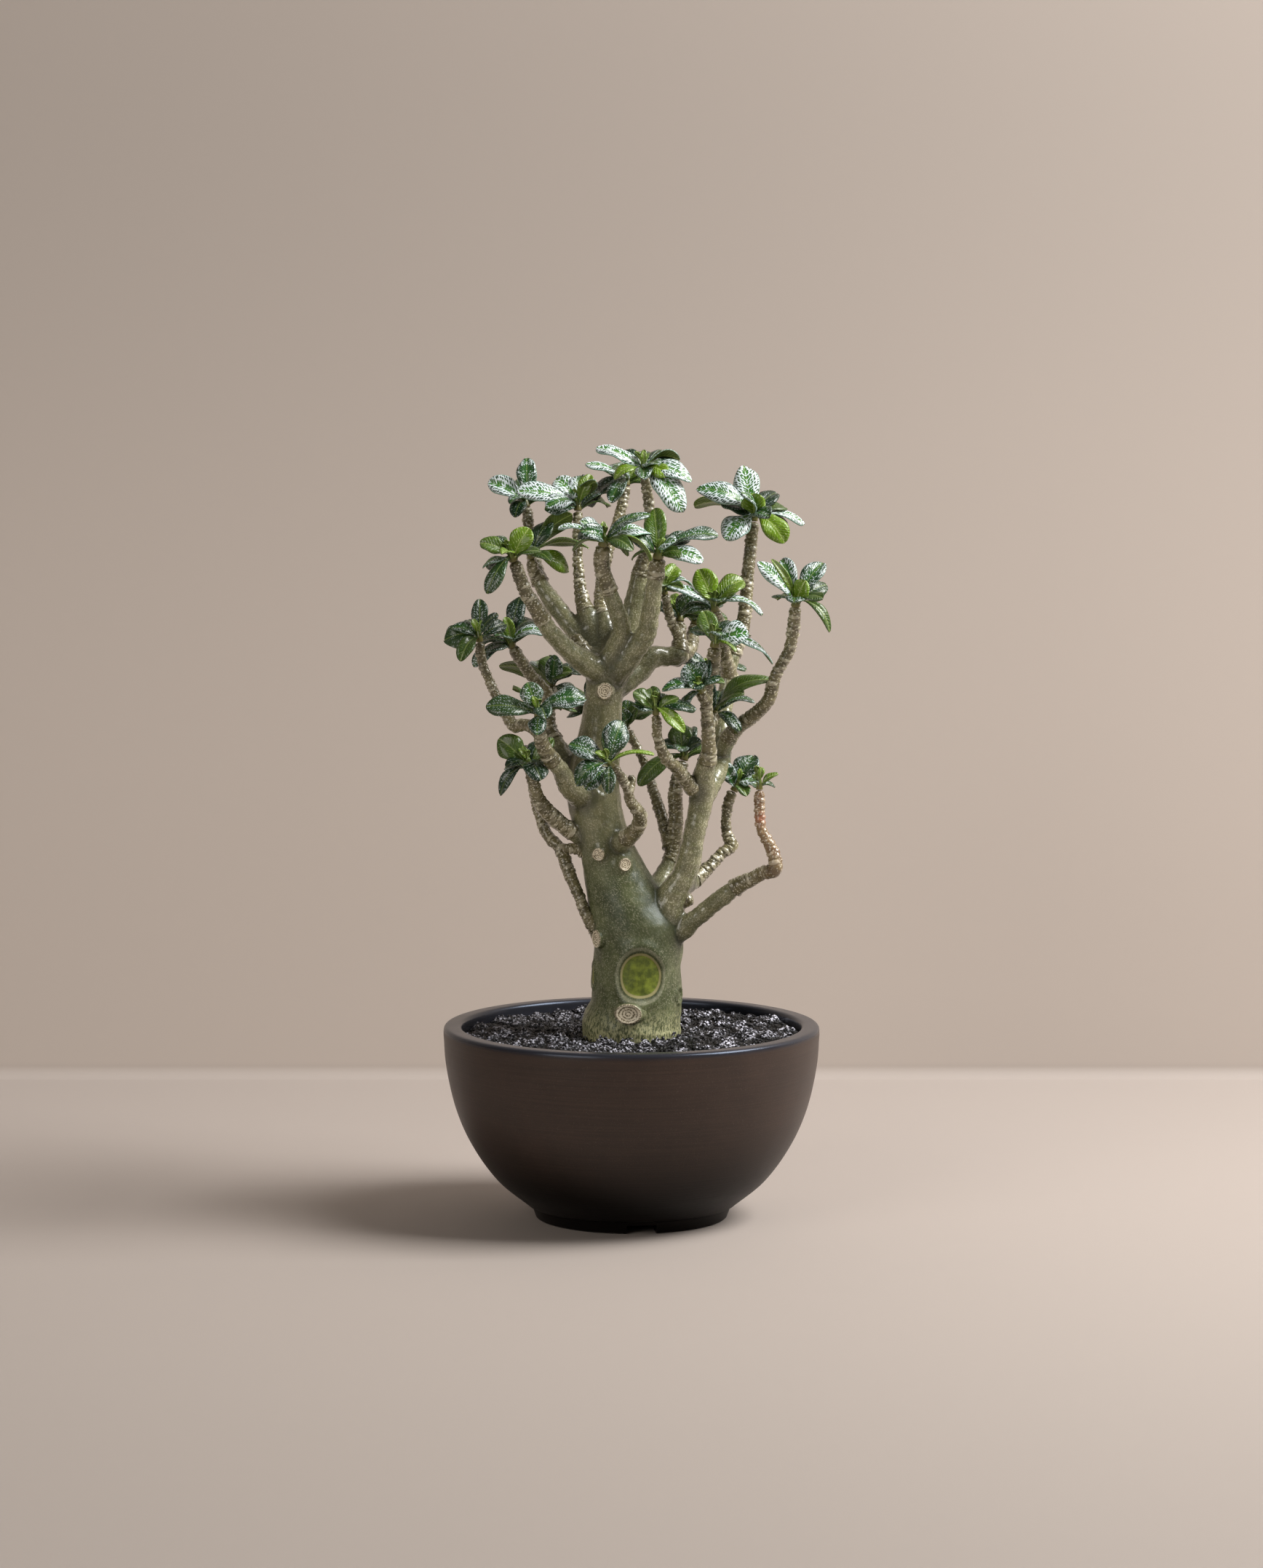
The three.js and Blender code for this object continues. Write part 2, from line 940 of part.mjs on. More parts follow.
// The whole woody plant as one grown body.
function wood() {
  let body = stem(trunkLine, {
    facets: trunkFacets,
    ring: trunkRing,
    knobs: trunkKnobs,
    seed: 11,
  });
  growth.forEach(({ route }, i) => {
    const thick = route[1][3] > thickLimb;
    const form = {
      facets: thick ? limbFacets : twigFacets,
      ring: twigRing,
      knobs: thick ? twigKnobs / 2 : twigKnobs,
      seed: 101 + i,
    };
    body = body.add(stem(route, form));
  });
  for (const row of scars) body = body.add(scar(...row));
  return filled(body);
}

// An oval scar or stub with a raised callus ring, seated in the trunk's side.
function scar(angle, height, width, length, stand) {
  const after = trunkLine.findIndex(([, , z]) => z > height);
  const [low, high] = [trunkLine[after - 1], trunkLine[after]];
  const share = (height - low[2]) / (high[2] - low[2]);
  const [x, y, , radius] = low.map((v, i) => THREE.MathUtils.lerp(v, high[i], share));
  const out = new THREE.Vector3(Math.cos(radians(angle)), Math.sin(radians(angle)), 0);
  const across = new THREE.Vector3(out.y, -out.x, 0);
  const large = width > largeScar;
  const rim = stand - scarSink;
  const heart = large ? 0.45 * stand - scarSink : rim;
  const profile = [
    new THREE.Vector2(0, -scarRoot),
    new THREE.Vector2(1, -scarRoot),
    new THREE.Vector2(0.86, rim),
    ...(large ? [new THREE.Vector2(0.66, rim), new THREE.Vector2(0.5, heart)] : []),
    new THREE.Vector2(0, heart),
  ];
  const geometry = new THREE.LatheGeometry(profile, large ? largeScarFacets : smallScarFacets);
  geometry.scale(width / 2, 1, length / 2);
  geometry.applyMatrix4(new THREE.Matrix4().makeBasis(across, out, up));
  geometry.translate(x + out.x * radius, y + out.y * radius, height);
  return solid(geometry);
}

// One leaf blade: obovate, arched over its length, its edges rolled under and a little waved.
function blade(root, tip, width, turn) {
  const span = tip.clone().sub(root);
  const length = span.length();
  const face = new THREE.Vector3(0, -Math.sin(radians(turn)), Math.cos(radians(turn)));
  const side = span.clone().cross(face).normalize();
  const arch = side.clone().cross(span).normalize();
  const middle = root.clone().addScaledVector(span, 0.5);
  middle.addScaledVector(arch, length * archOfLength * 2);
  const rib = new THREE.QuadraticBezierCurve3(root, middle, tip);
  const corners = [];
  bladeStations.forEach((share, i) => {
    const at = rib.getPoint(share);
    const normal = side.clone().cross(rib.getTangent(share)).normalize();
    const half = (width / 2) * bladeFullness * bladeWidths[i];
    const drop = -edgeRoll * half;
    const wave = edgeWave * (i % 2 ? 1 : -1);
    const left = at.clone().addScaledVector(side, -half);
    const right = at.clone().addScaledVector(side, half);
    corners.push(left.addScaledVector(normal, drop + wave));
    corners.push(at.clone().addScaledVector(normal, bladeThickness / 2));
    corners.push(right.addScaledVector(normal, drop - wave));
    corners.push(at.clone().addScaledVector(normal, -bladeThickness / 2));
  });
  const foot = corners.push(root.clone()) - 1;
  const end = corners.push(tip.clone()) - 1;
  const faces = [];
  for (let k = 0; k < 4; k++) {
    const next = (k + 1) % 4;
    faces.push(foot, next, k, foot - 4 + k, foot - 4 + next, end);
    for (let i = 0; i + 4 < foot; i += 4) {
      const [a, b, c, d] = [i + k, i + next, i + next + 4, i + k + 4];
      // Each panel is split from its margin corner to the rib, alike above and below.
      if (k % 2) faces.push(a, b, d, b, c, d);
      else faces.push(a, c, d, a, b, c);
    }
  }
  const geometry = new THREE.BufferGeometry().setFromPoints(corners);
  geometry.setIndex(faces);
  return solid(geometry);
}

// The leaves that fill a rosette's back, fanned about the direction away from the front.
function fanBehind(count, seed) {
  const draw = draws(seed);
  return Array.from({ length: count }, (_, i) => {
    const azimuth = radians(90 + (i - (count - 1) / 2) * fanSpread + 14 * draw());
    const rise = radians(fanRise + 12 * draw());
    const length = fanLength + 3 * draw();
    const flat = length * Math.cos(rise);
    return [
      flat * Math.cos(azimuth),
      flat * Math.sin(azimuth),
      length * Math.sin(rise),
      fanWidth + draw(),
      0,
    ];
  });
}

// A shoot's green tip with its rosette of leaves, seated on the twig's end.
function rosette({ route, leaves, behind }, seed) {
  const [last, before] = [route[route.length - 1], route[route.length - 2]];
  const base = new THREE.Vector3(...last);
  const grow = base.clone().sub(new THREE.Vector3(...before)).normalize();
  const start = base.clone().addScaledVector(grow, seatGap);
  const tipRadius = last[3] * tipShare;
  const cone = new THREE.CylinderGeometry(tipRadius * 0.5, tipRadius, tipLength, tipFacets);
  cone.translate(0, tipLength / 2, 0);
  cone.applyQuaternion(new THREE.Quaternion().setFromUnitVectors(new THREE.Vector3(0, 1, 0), grow));
  cone.translate(start.x, start.y, start.z);
  let body = solid(cone);
  [...leaves, ...fanBehind(behind, seed)].forEach(([x, y, z, width, turn], i) => {
    const tip = base.clone().add(new THREE.Vector3(x, y, z));
    const outward = new THREE.Vector3(x, y, z).projectOnPlane(grow);
    outward.setLength(tipRadius * leafRootOffset);
    const root = start.clone().add(outward);
    root.addScaledVector(grow, leafRootHeight + (i % 3) * leafRootStep);
    body = body.add(blade(root, tip, width, turn));
  });
  return filled(body);
}

const plant = new THREE.Group();
plant.add(piece("pot", bowl(), { color: 0x2b2522, roughness: 0.5 }));
plant.add(piece("soil", grit(), { color: 0x26262a, roughness: 0.85 }));
plant.add(piece("wood", wood(), { color: 0x7f7d66, roughness: 0.7 }));
growth.forEach((shoot, i) => {
  if (!shoot.leaves) return;
  const leafGreen = { color: 0x3c5a26, roughness: 0.35 };
  plant.add(piece(`leaves_${shoot.name}`, rosette(shoot, 301 + i), leafGreen));
});

export default plant;
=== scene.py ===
"""The looks of a potted dorstenia gigas: an old caudex plant in a black clay bowl of lava grit.

The tables are in millimetres in the part's own frame: +Z up, the origin on the table under the
middle of the bowl, the plant's front with its big oval pruning scar facing -Y. Meshes are in
metres.
"""

import logging
import math
from dataclasses import dataclass, fields
from enum import Enum
from typing import ClassVar

import bmesh
import bpy
import numpy as np
from mathutils import Matrix, Vector


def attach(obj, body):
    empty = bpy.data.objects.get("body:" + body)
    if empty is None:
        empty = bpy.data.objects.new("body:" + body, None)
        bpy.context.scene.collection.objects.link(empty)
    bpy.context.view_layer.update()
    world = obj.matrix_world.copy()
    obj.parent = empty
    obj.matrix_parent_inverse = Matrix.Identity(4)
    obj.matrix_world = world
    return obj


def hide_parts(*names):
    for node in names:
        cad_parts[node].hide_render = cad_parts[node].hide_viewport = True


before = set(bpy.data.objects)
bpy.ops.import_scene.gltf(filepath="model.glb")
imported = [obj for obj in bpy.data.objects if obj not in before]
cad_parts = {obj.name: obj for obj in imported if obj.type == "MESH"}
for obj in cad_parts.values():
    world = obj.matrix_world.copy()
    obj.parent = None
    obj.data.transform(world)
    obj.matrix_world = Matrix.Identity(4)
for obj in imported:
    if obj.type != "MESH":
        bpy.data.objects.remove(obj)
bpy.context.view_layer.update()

log = logging.getLogger("dorstenia")

MM = 0.001
SHARP = math.radians(35)

Colour = tuple[float, float, float]
Rows = tuple[tuple[float, ...], ...]
Socket = bpy.types.NodeSocket


class LeafLook(Enum):
    """How a leaf is marked, as (letter, silvery flecks that are partly painted highlight glints,
    youth).
    """

    SILVERED_AND_GLINTING = ("S", 0.48, 0.04)
    MARKED = ("M", 0.14, 0.02)
    DARK = ("D", 0.05, 0.0)
    GREEN = ("G", 0.03, 0.38)
    YOUNG = ("Y", 0.0, 1.0)

    def __init__(self, letter: str, silver: float, youth: float) -> None:
        """Keeps the three values under their names."""
        self.letter, self.silver, self.youth = letter, silver, youth

    @classmethod
    def read(cls, letter: str) -> "LeafLook":
        """The look that a letter of a shoot's looks stands for."""
        return next(look for look in cls if look.letter == letter)


@dataclass(frozen=True)
class Shoot:
    """A limb or twig, and for a leafy one the rosette at its end.

    A row of its route is x, y, z and radius. A leaf is its tip's x, y and z from the shoot's tip,
    its width, and how far its face turns to the front in degrees. Each letter of looks is a leaf's
    look, and behind counts the leaves that fill the rosette's back.
    """

    name: str
    route: Rows
    leaves: Rows = ()
    looks: str = ""
    behind: int = 0


class Heal(Enum):
    """How a pruning scar has healed."""

    CORKY = 0
    MOSSY = 1
    CLOSED = 2


@dataclass(frozen=True)
class Scar:
    """A pruning scar or cut stub on the trunk, at an angle about it in degrees and a height.

    Its stand is how far its callus or its cut end stands out.
    """

    angle: float
    height: float
    width: float
    length: float
    stand: float
    heal: Heal = Heal.CORKY


TRUNK = Shoot(
    "trunk",
    route=(
        (0, 0, 61, 26), (0, 0, 81.2, 26), (0, 0, 100.5, 26), (0, 0, 104.5, 27),
        (2, 0, 112, 25), (3, 0, 122, 24.4), (3, 0, 138, 23.6), (4, 0, 152, 24),
        (-1, 0, 164, 22), (-5, 0, 176, 19.2), (-9, 0, 187, 17), (-13, 0, 199, 14.8),
        (-17, 0, 213, 14), (-20, 1, 227, 14.6), (-20, 2, 243, 13.6), (-17, 2, 262, 11.8),
        (-15, 1, 280, 10.2), (-14, 0, 291, 10.4), (-14, 0, 300, 11.2), (-13, 0, 307, 8),
    ),
)

SCARS = (
    Scar(-85.6, 134.8, 28.5, 32.5, 2.0, Heal.MOSSY),
    Scar(-98.5, 114.9, 15, 11.5, 4.2),
    Scar(-148, 153.6, 8.5, 10, 3.2),
    Scar(-168, 133, 8, 14, 1.2, Heal.MOSSY),
    Scar(-20, 122, 8, 9, 1.2, Heal.CLOSED),
    Scar(-105, 199.6, 7.2, 7.2, 3.4),
    Scar(-64.4, 194.2, 7.4, 7.4, 3.4),
    Scar(-80, 214, 5, 5, 0.7, Heal.CLOSED),
    Scar(-70, 238, 10, 15, 1.1, Heal.CLOSED),
    Scar(-90, 287, 8.8, 9.2, 2.8),
    Scar(70, 140, 17, 20, 1.6, Heal.MOSSY),
    Scar(120, 178, 8, 8, 3),
    Scar(55, 205, 7, 9, 2),
    Scar(110, 250, 7, 8, 1.4),
)

SHOOTS = (
    Shoot("right_limb", (
        (10, 0, 148, 13), (18, -5, 166, 10), (24, -8, 180, 7.8), (28, -9, 187, 6.9),
        (31, -10, 196, 6.5), (33, -11, 208, 6), (36, -11, 220, 6.3), (38, -11, 232, 7),
        (39, -15, 243, 6.2), (41, -20, 254, 4), (41, -23, 264, 3.5), (40, -26, 277, 3.1),
        (40, -29, 290, 3.2), (43, -31, 300, 3.6), (44, -33, 312, 3.4),
    ), (
        (-6, 6, 19, 10, 0), (18, -6, 8, 13, 50), (31, 4, -9, 9, 20), (11, -12, -1, 7, 10),
        (-13, 9, 8, 9, 0),
    ), "GSSYD", 1),
    Shoot("right_spur", (
        (40, -24, 270, 3), (43, -17, 271, 2.8), (44, -11, 274, 2.7),
    ), (
        (16, -10, 13, 10, 20), (31, 0, 19, 10, 20), (22, 10, 6, 9, 20), (14, -7, -8, 7, 30),
    ), "GGMM", 1),
    Shoot("right_inner_spur", (
        (40, -28, 283, 3), (38, -32, 286, 2.8), (37, -36, 289, 2.6),
    ), (
        (-7, -2, 15, 14, 30), (-21, -8, 1, 9, 30), (-5, -13, 3, 9, 20), (10, -8, 8, 9, 20),
    ), "MMDD"),
    Shoot("right_back_limb", (
        (38, -4, 229, 7), (45, 6, 240, 6), (49, 10, 249, 5), (49, 15, 261, 4.6), (50, 19, 270, 4.6),
        (51, 23, 280, 4.8), (54, 29, 301, 4.6), (58, 32, 310, 4), (61, 35, 322, 3.8),
        (63, 39, 345, 3.4), (66, 42, 374, 3.1),
    ), (
        (-5, 8, 30, 13, 0), (0, -7, 16, 12, 0), (-31, -4, 18, 12, 45), (-32, 8, 8, 12, -30),
        (-15, -15, -9, 14, 30), (17, -8, -11, 12, 50), (28, 8, -2, 9, 15),
    ), "SYSYSYS", 2),
    Shoot("far_right", (
        (49, 8, 253, 4.8), (54, 2, 263, 4.2), (60, -3, 269, 3.8), (67, -8, 275, 3.7),
        (73, -12, 282, 3.6), (77, -16, 296, 3), (84, -20, 310, 3), (86, -23, 321, 3.2),
        (87, -26, 333, 3.2),
    ), (
        (-20, 4, 24, 9, 0), (-13, -5, 26, 4, 0), (-7, 8, 25, 9, 0), (5, -9, 15, 10, 0),
        (15, 8, 23, 10, 0), (18, -5, -13, 6, 20),
    ), "SYSYMG", 1),
    Shoot("right_middle", (
        (53, 26, 291, 4.2), (50, 15, 306, 3.2), (48, 6, 319, 3), (45, 0, 329, 2.8),
    ), (
        (-9, 4, 22, 12, 0), (15, 4, 16, 13, 0), (25, -5, -2, 8, 20), (-26, 2, 13, 10, 20),
        (3, -13, 6, 8, 20),
    ), "YYSSD", 1),
    Shoot("right_small", (
        (30, -6, 182, 5), (37, 2, 186, 4), (43, 6, 191, 3.2), (48, 10, 196, 3), (54, 13, 201, 3.5),
        (52, 14, 206, 2.9), (51, 14, 214, 2.5), (53, 13, 226, 2.9), (55, 13, 230, 2.8),
    ), (
        (-9, 11, 16, 7, 0), (11, 5, 19, 12, 10), (13, -8, 6, 10, 30), (7, -12, -1, 7, 30),
    ), "DMSG", 1),
    Shoot("low_right", (
        (14, -3, 150, 9), (24, -6, 155, 6.4), (34, -11, 164, 5.2), (42, -15, 171, 5),
        (48, -19, 176, 4.9), (56, -24, 183, 4.4), (64, -29, 188, 3.8), (71, -33, 192, 3.5),
        (76, -37, 194, 4), (76, -37, 201, 3.5), (73, -36, 208, 3.1), (69, -35, 216, 2.6),
        (68, -33, 230, 2.8), (68, -33, 236, 2.3),
    ), (
        (10, 0, 9, 4, 20), (-3, 4, 8, 3.6, 0),
    ), "YY"),
    Shoot("inner_right", (
        (12, 8, 172, 9), (17, 17, 183, 5.4), (22, 22, 194, 4.3), (24, 24, 212, 4),
        (24, 25, 231, 3.6), (28, 28, 245, 3.2),
    ), (
        (-2, 6, 20, 12, 0), (10, -6, 11, 9, 0), (5, 13, 17, 8, 0), (-24, -14, -12, 11, 30),
        (-13, 6, 9, 9, 0),
    ), "GDDGD"),
    Shoot("inner_back", (
        (21, 22, 199, 3.8), (18, 29, 209, 3.2), (15, 34, 219, 3.2), (10, 39, 233, 2.5),
        (5, 42, 247, 2.3), (-2, 43, 260, 2.4),
    ), (
        (0, 7, 16, 10, 0), (15, -4, 11, 9, 30), (-12, 4, 7, 9, 20),
    ), "MGD", 1),
    Shoot("inner_front", (
        (35, -13, 233, 5), (29, -19, 240, 3.8), (24, -27, 247, 3.3), (18, -34, 254, 3),
        (14, -40, 265, 2.5), (13, -43, 277, 2.4),
    ), (
        (-12, -3, 13, 9, 20), (21, -3, 3, 10, 40), (15, -10, -8, 7, 60), (-3, 7, 14, 8, 0),
        (7, 8, 9, 8, 0),
    ), "GDYGM"),
    Shoot("trunk_front", (
        (-9, -7, 203, 6), (-1, -20, 210, 4.2), (4, -28, 217, 3.8), (4, -35, 224, 3.5),
        (-1, -41, 232, 2.7), (-2, -46, 238, 2.5), (-6, -51, 246, 2.5), (-10, -55, 251, 2.5),
    ), (
        (-23, 0, 12, 12, 50), (5, 3, 24, 13, 0), (-19, -7, -9, 11, 40), (-2, -12, -13, 7, 30),
        (22, -4, 7, 4, 20),
    ), "MMMDY"),
    Shoot("trunk_front_stub", ((-2, -44, 236, 2.2), (0, -42, 241, 1.8), (0, -41, 245, 2))),
    Shoot("left_low", (
        (-26, -3, 207, 5.4), (-35, -8, 213, 4.2), (-43, -12, 220, 4.3), (-48, -15, 226, 4),
        (-51, -17, 233, 3.4), (-54, -20, 246, 3),
    ), (
        (-17, 2, 16, 13, 60), (5, 7, 13, 8, 0), (6, -18, -4, 12, 30), (-13, -8, 2, 7, 30),
        (-16, -4, -14, 7, 30),
    ), "GDDDD", 1),
    Shoot("left_thin", (
        (-16, -5, 154, 5), (-24, -6, 165, 3.1), (-28, -4, 175, 3), (-32, -1, 184, 3.3),
        (-35, 3, 191, 3.4), (-38, 8, 199, 3.4), (-45, 13, 206, 3.1), (-50, 18, 217, 2.7),
        (-53, 20, 230, 2.5), (-54, 19, 240, 2.4),
    ), (
        (-13, 6, 11, 8, 20), (7, 8, 12, 8, 0), (-2, 13, 13, 8, 0),
    ), "DDD"),
    Shoot("left_cross", ((-22, -2, 198, 4), (-30, -3, 201, 2.9), (-37, -4, 201, 2.6))),
    Shoot("left_limb", (
        (-20, 1, 226, 10), (-29, 5, 234, 9), (-35, 10, 243, 8), (-40, 14, 253, 6.2),
        (-44, 18, 264, 3.4), (-45, 22, 277, 2.9), (-47, 23, 285, 3), (-54, 22, 292, 3.1),
        (-60, 19, 301, 3.1), (-64, 16, 308, 3),
    ), (
        (-21, -7, -10, 9, 30), (18, 1, 8, 9, 30), (4, 7, 27, 9, 0), (-9, -13, 7, 10, 20),
        (-4, -7, 17, 6, 0),
    ), "MSDMY", 2),
    Shoot("left_limb_back", (
        (-46, 22, 279, 2.8), (-43, 30, 281, 2.6), (-43, 35, 284, 2.5),
    ), (
        (-29, 4, 12, 12, -40), (-2, 8, 17, 12, 0), (16, 0, 8, 8, 10),
    ), "GGD", 2),
    Shoot("left_front", (
        (-24, -4, 229, 9), (-33, -16, 236, 5.8), (-38, -24, 246, 4.8), (-44, -30, 254, 4.2),
        (-48, -37, 264, 3.6), (-49, -42, 276, 3.1),
    ), (
        (-28, -4, 6, 12, 55), (-6, -5, 19, 11, 20), (25, -4, 10, 13, 45), (-14, 8, 15, 10, -20),
        (4, -18, 1, 9, 20),
    ), "DMMGD"),
    Shoot("far_left", (
        (-48, -36, 266, 3.4), (-54, -30, 270, 2.9), (-58, -24, 270, 3), (-62, -20, 269, 3.2),
        (-66, -16, 273, 3), (-70, -12, 280, 2.5), (-75, -10, 290, 2.3), (-80, -11, 303, 2.5),
        (-81, -12, 313, 2.6),
    ), (
        (0, 4, 23, 8, 0), (10, -9, 16, 6, 0), (-19, 1, 1, 12, 55), (-10, -13, -9, 8, 30),
        (-11, 11, 9, 8, 20),
    ), "DDDGS", 1),
    Shoot("upper_left_front", (
        (-13, -3, 296, 9), (-24, -10, 302, 6.6), (-32, -16, 308, 5.6), (-43, -24, 320, 4.8),
        (-49, -29, 330, 4.2), (-56, -33, 342, 3.5), (-62, -37, 358, 3.2),
    ), (
        (8, -3, 18, 11, 30), (-12, 8, 11, 9, 50), (-18, -1, 10, 9, 50), (-6, -13, 5, 7, 30),
        (-14, -13, -16, 9, 45),
    ), "YDGYD", 1),
    Shoot("upper_left_back", (
        (-15, 4, 299, 8.5), (-27, 14, 313, 6), (-34, 20, 321, 5.4), (-45, 30, 335, 4.8),
        (-50, 34, 343, 4.4), (-54, 41, 359, 3.2), (-57, 48, 381, 2.7),
    ), (
        (-21, 4, 14, 11, 40), (0, 6, 27, 10, 0), (-4, 12, 15, 9, 0), (-6, -15, -4, 8, 10),
        (12, 7, 12, 9, 0),
    ), "SMMDS", 1),
    Shoot("upper_left_side", (
        (-50, 34, 342, 3.4), (-53, 30, 349, 3), (-54, 28, 355, 2.8),
    ), (
        (22, 2, 24, 12, -40), (31, -4, 6, 9, -20), (20, 6, -7, 9, 60), (-14, -6, 7, 8, 20),
    ), "GGYD"),
    Shoot("upper_left_stub", ((-20, 2, 301, 5), (-27, 1, 309, 4.2), (-31, 0, 316, 3.2))),
    Shoot("upper_back", (
        (-14, 4, 300, 9), (-21, 13, 312, 7.2), (-23, 18, 323, 5.8), (-26, 22, 331, 4),
        (-28, 27, 342, 3), (-29, 31, 356, 2.6), (-29, 35, 380, 2.7),
    ), (
        (-33, -6, 11, 12, 45), (-17, -13, 3, 10, 35), (-12, 9, 17, 12, 0), (2, 9, 19, 12, 0),
        (10, -10, 17, 8, -30), (7, 0, 20, 7, 0),
    ), "SSSSMY"),
    Shoot("upper_middle_front", (
        (-12, -4, 300, 8), (-5, -13, 319, 5.2), (-8, -19, 331, 4.6), (-14, -28, 348, 4.2),
        (-16, -32, 358, 4.1), (-15, -35, 366, 3.6),
    ), (
        (-24, 4, 9, 9, 10), (-12, -9, 14, 9, 35), (25, -4, 17, 9, 10), (25, 7, 6, 11, 30),
        (25, -11, -7, 11, -20), (13, 12, -6, 8, 10), (-16, 11, -3, 9, 10),
    ), "SSMSYDG"),
    Shoot("upper_middle_back", (
        (-13, 6, 302, 8), (-14, 15, 319, 6), (-16, 21, 328, 4.2), (-16, 28, 342, 3.3),
        (-12, 36, 361, 3), (-6, 43, 379, 2.8), (-3, 47, 393, 2.7),
    ), (
        (-22, -3, 12, 9, 10), (-20, -1, -11, 13, 30), (-8, -17, -8, 9, 25), (8, 6, 13, 9, 0),
    ), "SDMY", 2),
    Shoot("crown_top", (
        (-10, 2, 302, 9), (-1, 3, 322, 6.6), (2, 2, 335, 5.6), (5, 1, 350, 4.4), (9, 0, 364, 3.3),
        (10, -1, 375, 2.8), (9, -3, 388, 2.7), (7, -5, 402, 2.6),
    ), (
        (-26, 5, 14, 12, 30), (-7, 13, 11, 9, 0), (19, 4, 8, 9, -30), (25, -10, -3, 12, 40),
        (13, -13, 0, 9, 50), (20, -15, -19, 14, 45), (-16, -9, -2, 9, 10),
    ), "SMMSYSY", 1),
    Shoot("upper_right_front", (
        (-12, -2, 294, 9), (0, -11, 307, 6.4), (8, -17, 319, 5.4), (10, -21, 329, 5),
        (13, -26, 350, 4.4), (14, -29, 359, 3.8),
    ), (
        (-2, 8, 26, 11, 0), (32, 2, 12, 11, 20), (9, -13, 10, 10, 40), (24, -8, -1, 10, 45),
        (-14, 5, -1, 8, 10),
    ), "GMSSG", 1),
    Shoot("right_head", (
        (-10, 3, 288, 8), (3, 9, 295, 6.5), (11, 12, 303, 6.4), (18, 14, 303, 5.4),
        (25, 16, 304, 5.6), (26, 18, 311, 3.8), (26, 21, 321, 3),
    ), (
        (-15, 4, 8, 9, 20), (7, -7, 15, 9, 0), (17, 5, 5, 9, 20), (-6, 12, 13, 9, 0),
    ), "DMGY"),
    Shoot("right_head_inner", (
        (26, 18, 313, 2.8), (21, 14, 323, 2.4), (18, 9, 337, 2.3),
    ), (
        (-6, -13, 6, 9, 20), (6, 6, 15, 9, 0), (14, 9, 4, 10, 20),
    ), "GYS", 1),
    Shoot("right_head_outer", (
        (24, 17, 302, 4.4), (31, 29, 305, 3.8), (33, 38, 311, 3.4), (34, 44, 317, 3),
    ), (
        (14, -5, 11, 9, 10), (-11, -2, 13, 9, 0), (-2, 11, 17, 9, 0),
    ), "DYM", 2),
    Shoot("right_limb_stub", ((25, -7, 172, 4), (33, -9, 175, 2.9))),
    Shoot("low_back", (
        (-10, 8, 196, 7), (-14, 22, 206, 4.8), (-18, 38, 222, 4), (-19, 52, 243, 3.4),
        (-20, 62, 268, 3),
    ), (
        (-18, 2, 12, 10, 20), (14, -3, 13, 10, 20), (-3, -9, 20, 10, 0),
    ), "GMD", 4),
    Shoot("middle_back", (
        (40, 4, 234, 5.4), (42, 22, 240, 4.4), (44, 42, 252, 3.8), (44, 56, 270, 3.2),
        (43, 62, 286, 2.9),
    ), (
        (-17, -3, 11, 10, 20), (13, 1, 15, 10, 20),
    ), "MG", 4),
)


# ---------- sampling and small maths ----------


class Draws:
    """A small repeatable source of draws between -1 and 1."""

    def __init__(self, seed: int) -> None:
        """Starts the row of draws at a seed."""
        self.state = seed

    def __call__(self) -> float:
        """The next draw."""
        self.state = (self.state * 16807) % 2147483647
        return self.state / 2147483647 * 2 - 1


def smooth_step(value: np.ndarray, low: float, high: float) -> np.ndarray:
    """A soft step from 0 at low to 1 at high.

    Args:
        value: The values to step.
        low: Where the step starts.
        high: Where it ends.

    Returns:
        The stepped values.
    """
    share = np.clip((value - low) / (high - low), 0, 1)
    return share * share * (3 - 2 * share)


def unit(rows: np.ndarray) -> np.ndarray:
    """The rows as unit vectors."""
    return rows / np.maximum(np.linalg.norm(rows, axis=-1, keepdims=True), 1e-9)


def centripetal(points: np.ndarray, per_span: int) -> np.ndarray:
    """A smooth centripetal curve through points; columns past the third are carried linearly.

    Args:
        points: Rows of x, y, z and any further values.
        per_span: Samples between two points.

    Returns:
        The sampled rows.
    """
    places = points[:, :3]
    padded = np.vstack([2 * places[0] - places[1], places, 2 * places[-1] - places[-2]])
    rows = []
    for i in range(len(points) - 1):
        p = padded[i : i + 4]
        gap = np.maximum(np.linalg.norm(np.diff(p, axis=0), axis=1) ** 0.5, 1e-4)
        first = ((p[1] - p[0]) / gap[0] - (p[2] - p[0]) / (gap[0] + gap[1])) * gap[1] + p[2] - p[1]
        last = (p[2] - p[1]) + ((p[3] - p[2]) / gap[2] - (p[3] - p[1]) / (gap[1] + gap[2])) * gap[1]
        for t in np.linspace(0, 1, per_span, endpoint=False):
            place = (
                p[1] + first * t + (3 * (p[2] - p[1]) - 2 * first - last) * t**2
                + (2 * (p[1] - p[2]) + first + last) * t**3
            )
            rows.append(np.concatenate([place, points[i, 3:] * (1 - t) + points[i + 1, 3:] * t]))
    rows.append(points[-1])
    return np.array(rows)


